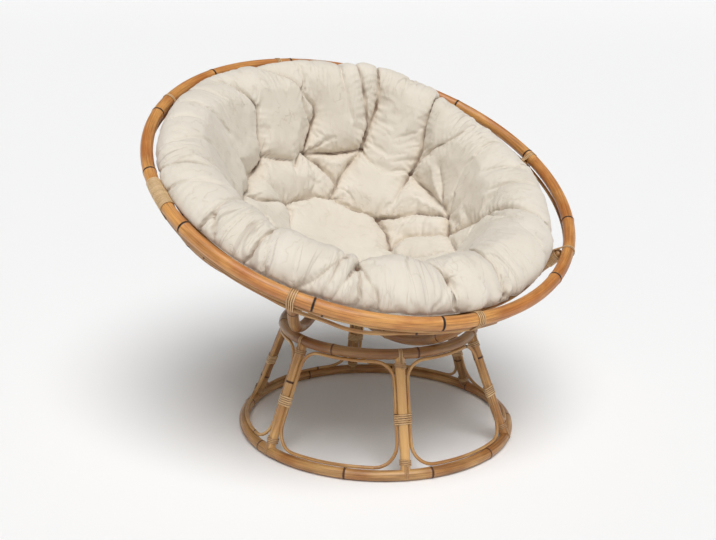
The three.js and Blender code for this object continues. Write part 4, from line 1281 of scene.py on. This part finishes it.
def canvas_material():
    """Undyed cotton canvas: a fine weave with thicker threads, a warm painted shade in the folds, and darker
    painted shade along the creases and fine wrinkles.
    """
    paint = Paint("canvas")
    place = paint.attribute("weave", "Vector")
    lay = paint.attribute("lay", "Vector")
    far = paint.add("SeparateXYZ", {0: lay})[2]
    warp = paint.noise(place, 1, 2, (1400, 60, 60), 0.6)
    weft = paint.noise(place, 1, 2, (60, 1400, 60), 0.6)
    slubs = paint.noise(place, 1, 2, (700, 14, 14))
    clouds = paint.noise(place, 6, 4)
    rumple = paint.noise(place, 34, 5, rough=0.6)
    patch = paint.noise(place, 11, 2)

    def thin_lines(field, width):
        """Lines of a width where a noise crosses its middle."""
        off_middle = paint.calculate("ABSOLUTE", paint.calculate("SUBTRACT", field, 0.5))
        return paint.remap(off_middle, 0, width, 1, 0)

    # Fine wrinkle lines near the edge and in patches inside: bumped as hollows and darkened as painted shade.
    outer = paint.calculate("MULTIPLY", paint.remap(patch, 0.48, 0.6), paint.remap(far, 0.3, 0.42))
    outer = paint.calculate("MULTIPLY", outer, thin_lines(paint.noise(lay, 1, 3, (38, 38, 11)), 0.02))
    veins = thin_lines(paint.noise(place, 15, 3), 0.009)
    inner = paint.calculate("MULTIPLY", veins, paint.remap(patch, 0.55, 0.42))
    lines = paint.calculate("MAXIMUM", outer, inner)
    base = paint.mix(paint.remap(clouds, 0.3, 0.7), rgb(212, 203, 188), rgb(219, 211, 198))
    colour = paint.coats(base, (
        (slubs, 0.62, 0.8, 0.35, rgb(202, 188, 166)),
        # A warm painted shade in the folds and round the sewn points.
        (paint.attribute("fold_shade"), 0.3, 1, 0.35, rgb(200, 176, 143)),
        # Dark brown painted shade along the sharp crease lines and at the sewn points' knots.
        (paint.attribute("crease_shade"), 0.26, 0.95, 0.95, rgb(98, 64, 36)),
        # The fine wrinkle lines, darkened a little as painted shade.
        (lines, 0, 1, 0.2, rgb(176, 146, 108)),
    ))
    fine = paint.bump(0.15, 0.0004, paint.calculate("ADD", warp, weft))
    broad = paint.bump(0.35, 0.003, rumple, fine)
    paint.fill(paint.shader, {
        "Base Color": colour,
        "Roughness": 0.92,
        "Sheen Weight": 0.25,
        "Sheen Roughness": 0.5,
        "Normal": paint.bump(0.5, 0.0015, lines, broad, invert=True),
    })
    return paint.material


canvas = canvas_material()


# Stage and light: the floor's rings as radius and height in metres, and for each sun its name, its azimuth,
# elevation and spread in degrees, and its power.
FLOOR_RINGS = ((0.5, 0), (20, 0), (40, 0.4), (60, 2.2), (80, 6), (100, 12), (125, 22), (150, 34))
FLOOR_STEPS = 64
SUNS = (
    ("key_light", -18, 66, 46, 2.7),
    ("fill_light", -34, 20, 60, 0.5),
)
SUN_DISTANCE = 3
WORLD_STRENGTH = 0.13


def make_floor():
    """A level floor that rises in a wide soft curve far away."""
    turn = math.tau * np.arange(FLOOR_STEPS) / FLOOR_STEPS
    around = list(zip(np.cos(turn), np.sin(turn)))
    points = [(radius * c, radius * s, height) for radius, height in FLOOR_RINGS for c, s in around]
    faces = [tuple(range(FLOOR_STEPS)), *band_faces(len(FLOOR_RINGS), FLOOR_STEPS)]
    paint = Paint("floor")
    paint.fill(paint.shader, {"Base Color": (0.93, 0.93, 0.93, 1), "Roughness": 0.9})
    add_mesh("floor", points, faces, paint.material)


def make_lights():
    """Two soft suns and an even white world."""
    for name, azimuth, elevation, spread, power in SUNS:
        data = bpy.data.lights.new(name, "SUN")
        data.angle = math.radians(spread)
        data.energy = power
        light = bpy.data.objects.new(name, data)
        toward = direction(math.radians(azimuth), math.radians(elevation))
        light.location = toward * SUN_DISTANCE
        light.rotation_euler = (-toward).to_track_quat("-Z", "Y").to_euler()
        scene.collection.objects.link(light)
    world = bpy.data.worlds.new("studio")
    world.use_nodes = True
    background = world.node_tree.nodes["Background"]
    background.inputs["Color"].default_value = (1, 1, 1, 1)
    background.inputs["Strength"].default_value = WORLD_STRENGTH
    scene.world = world
    scene.view_settings.view_transform = "Standard"


make_camera()
make_stand()
make_bowl()
make_cushion()
make_floor()
make_lights()
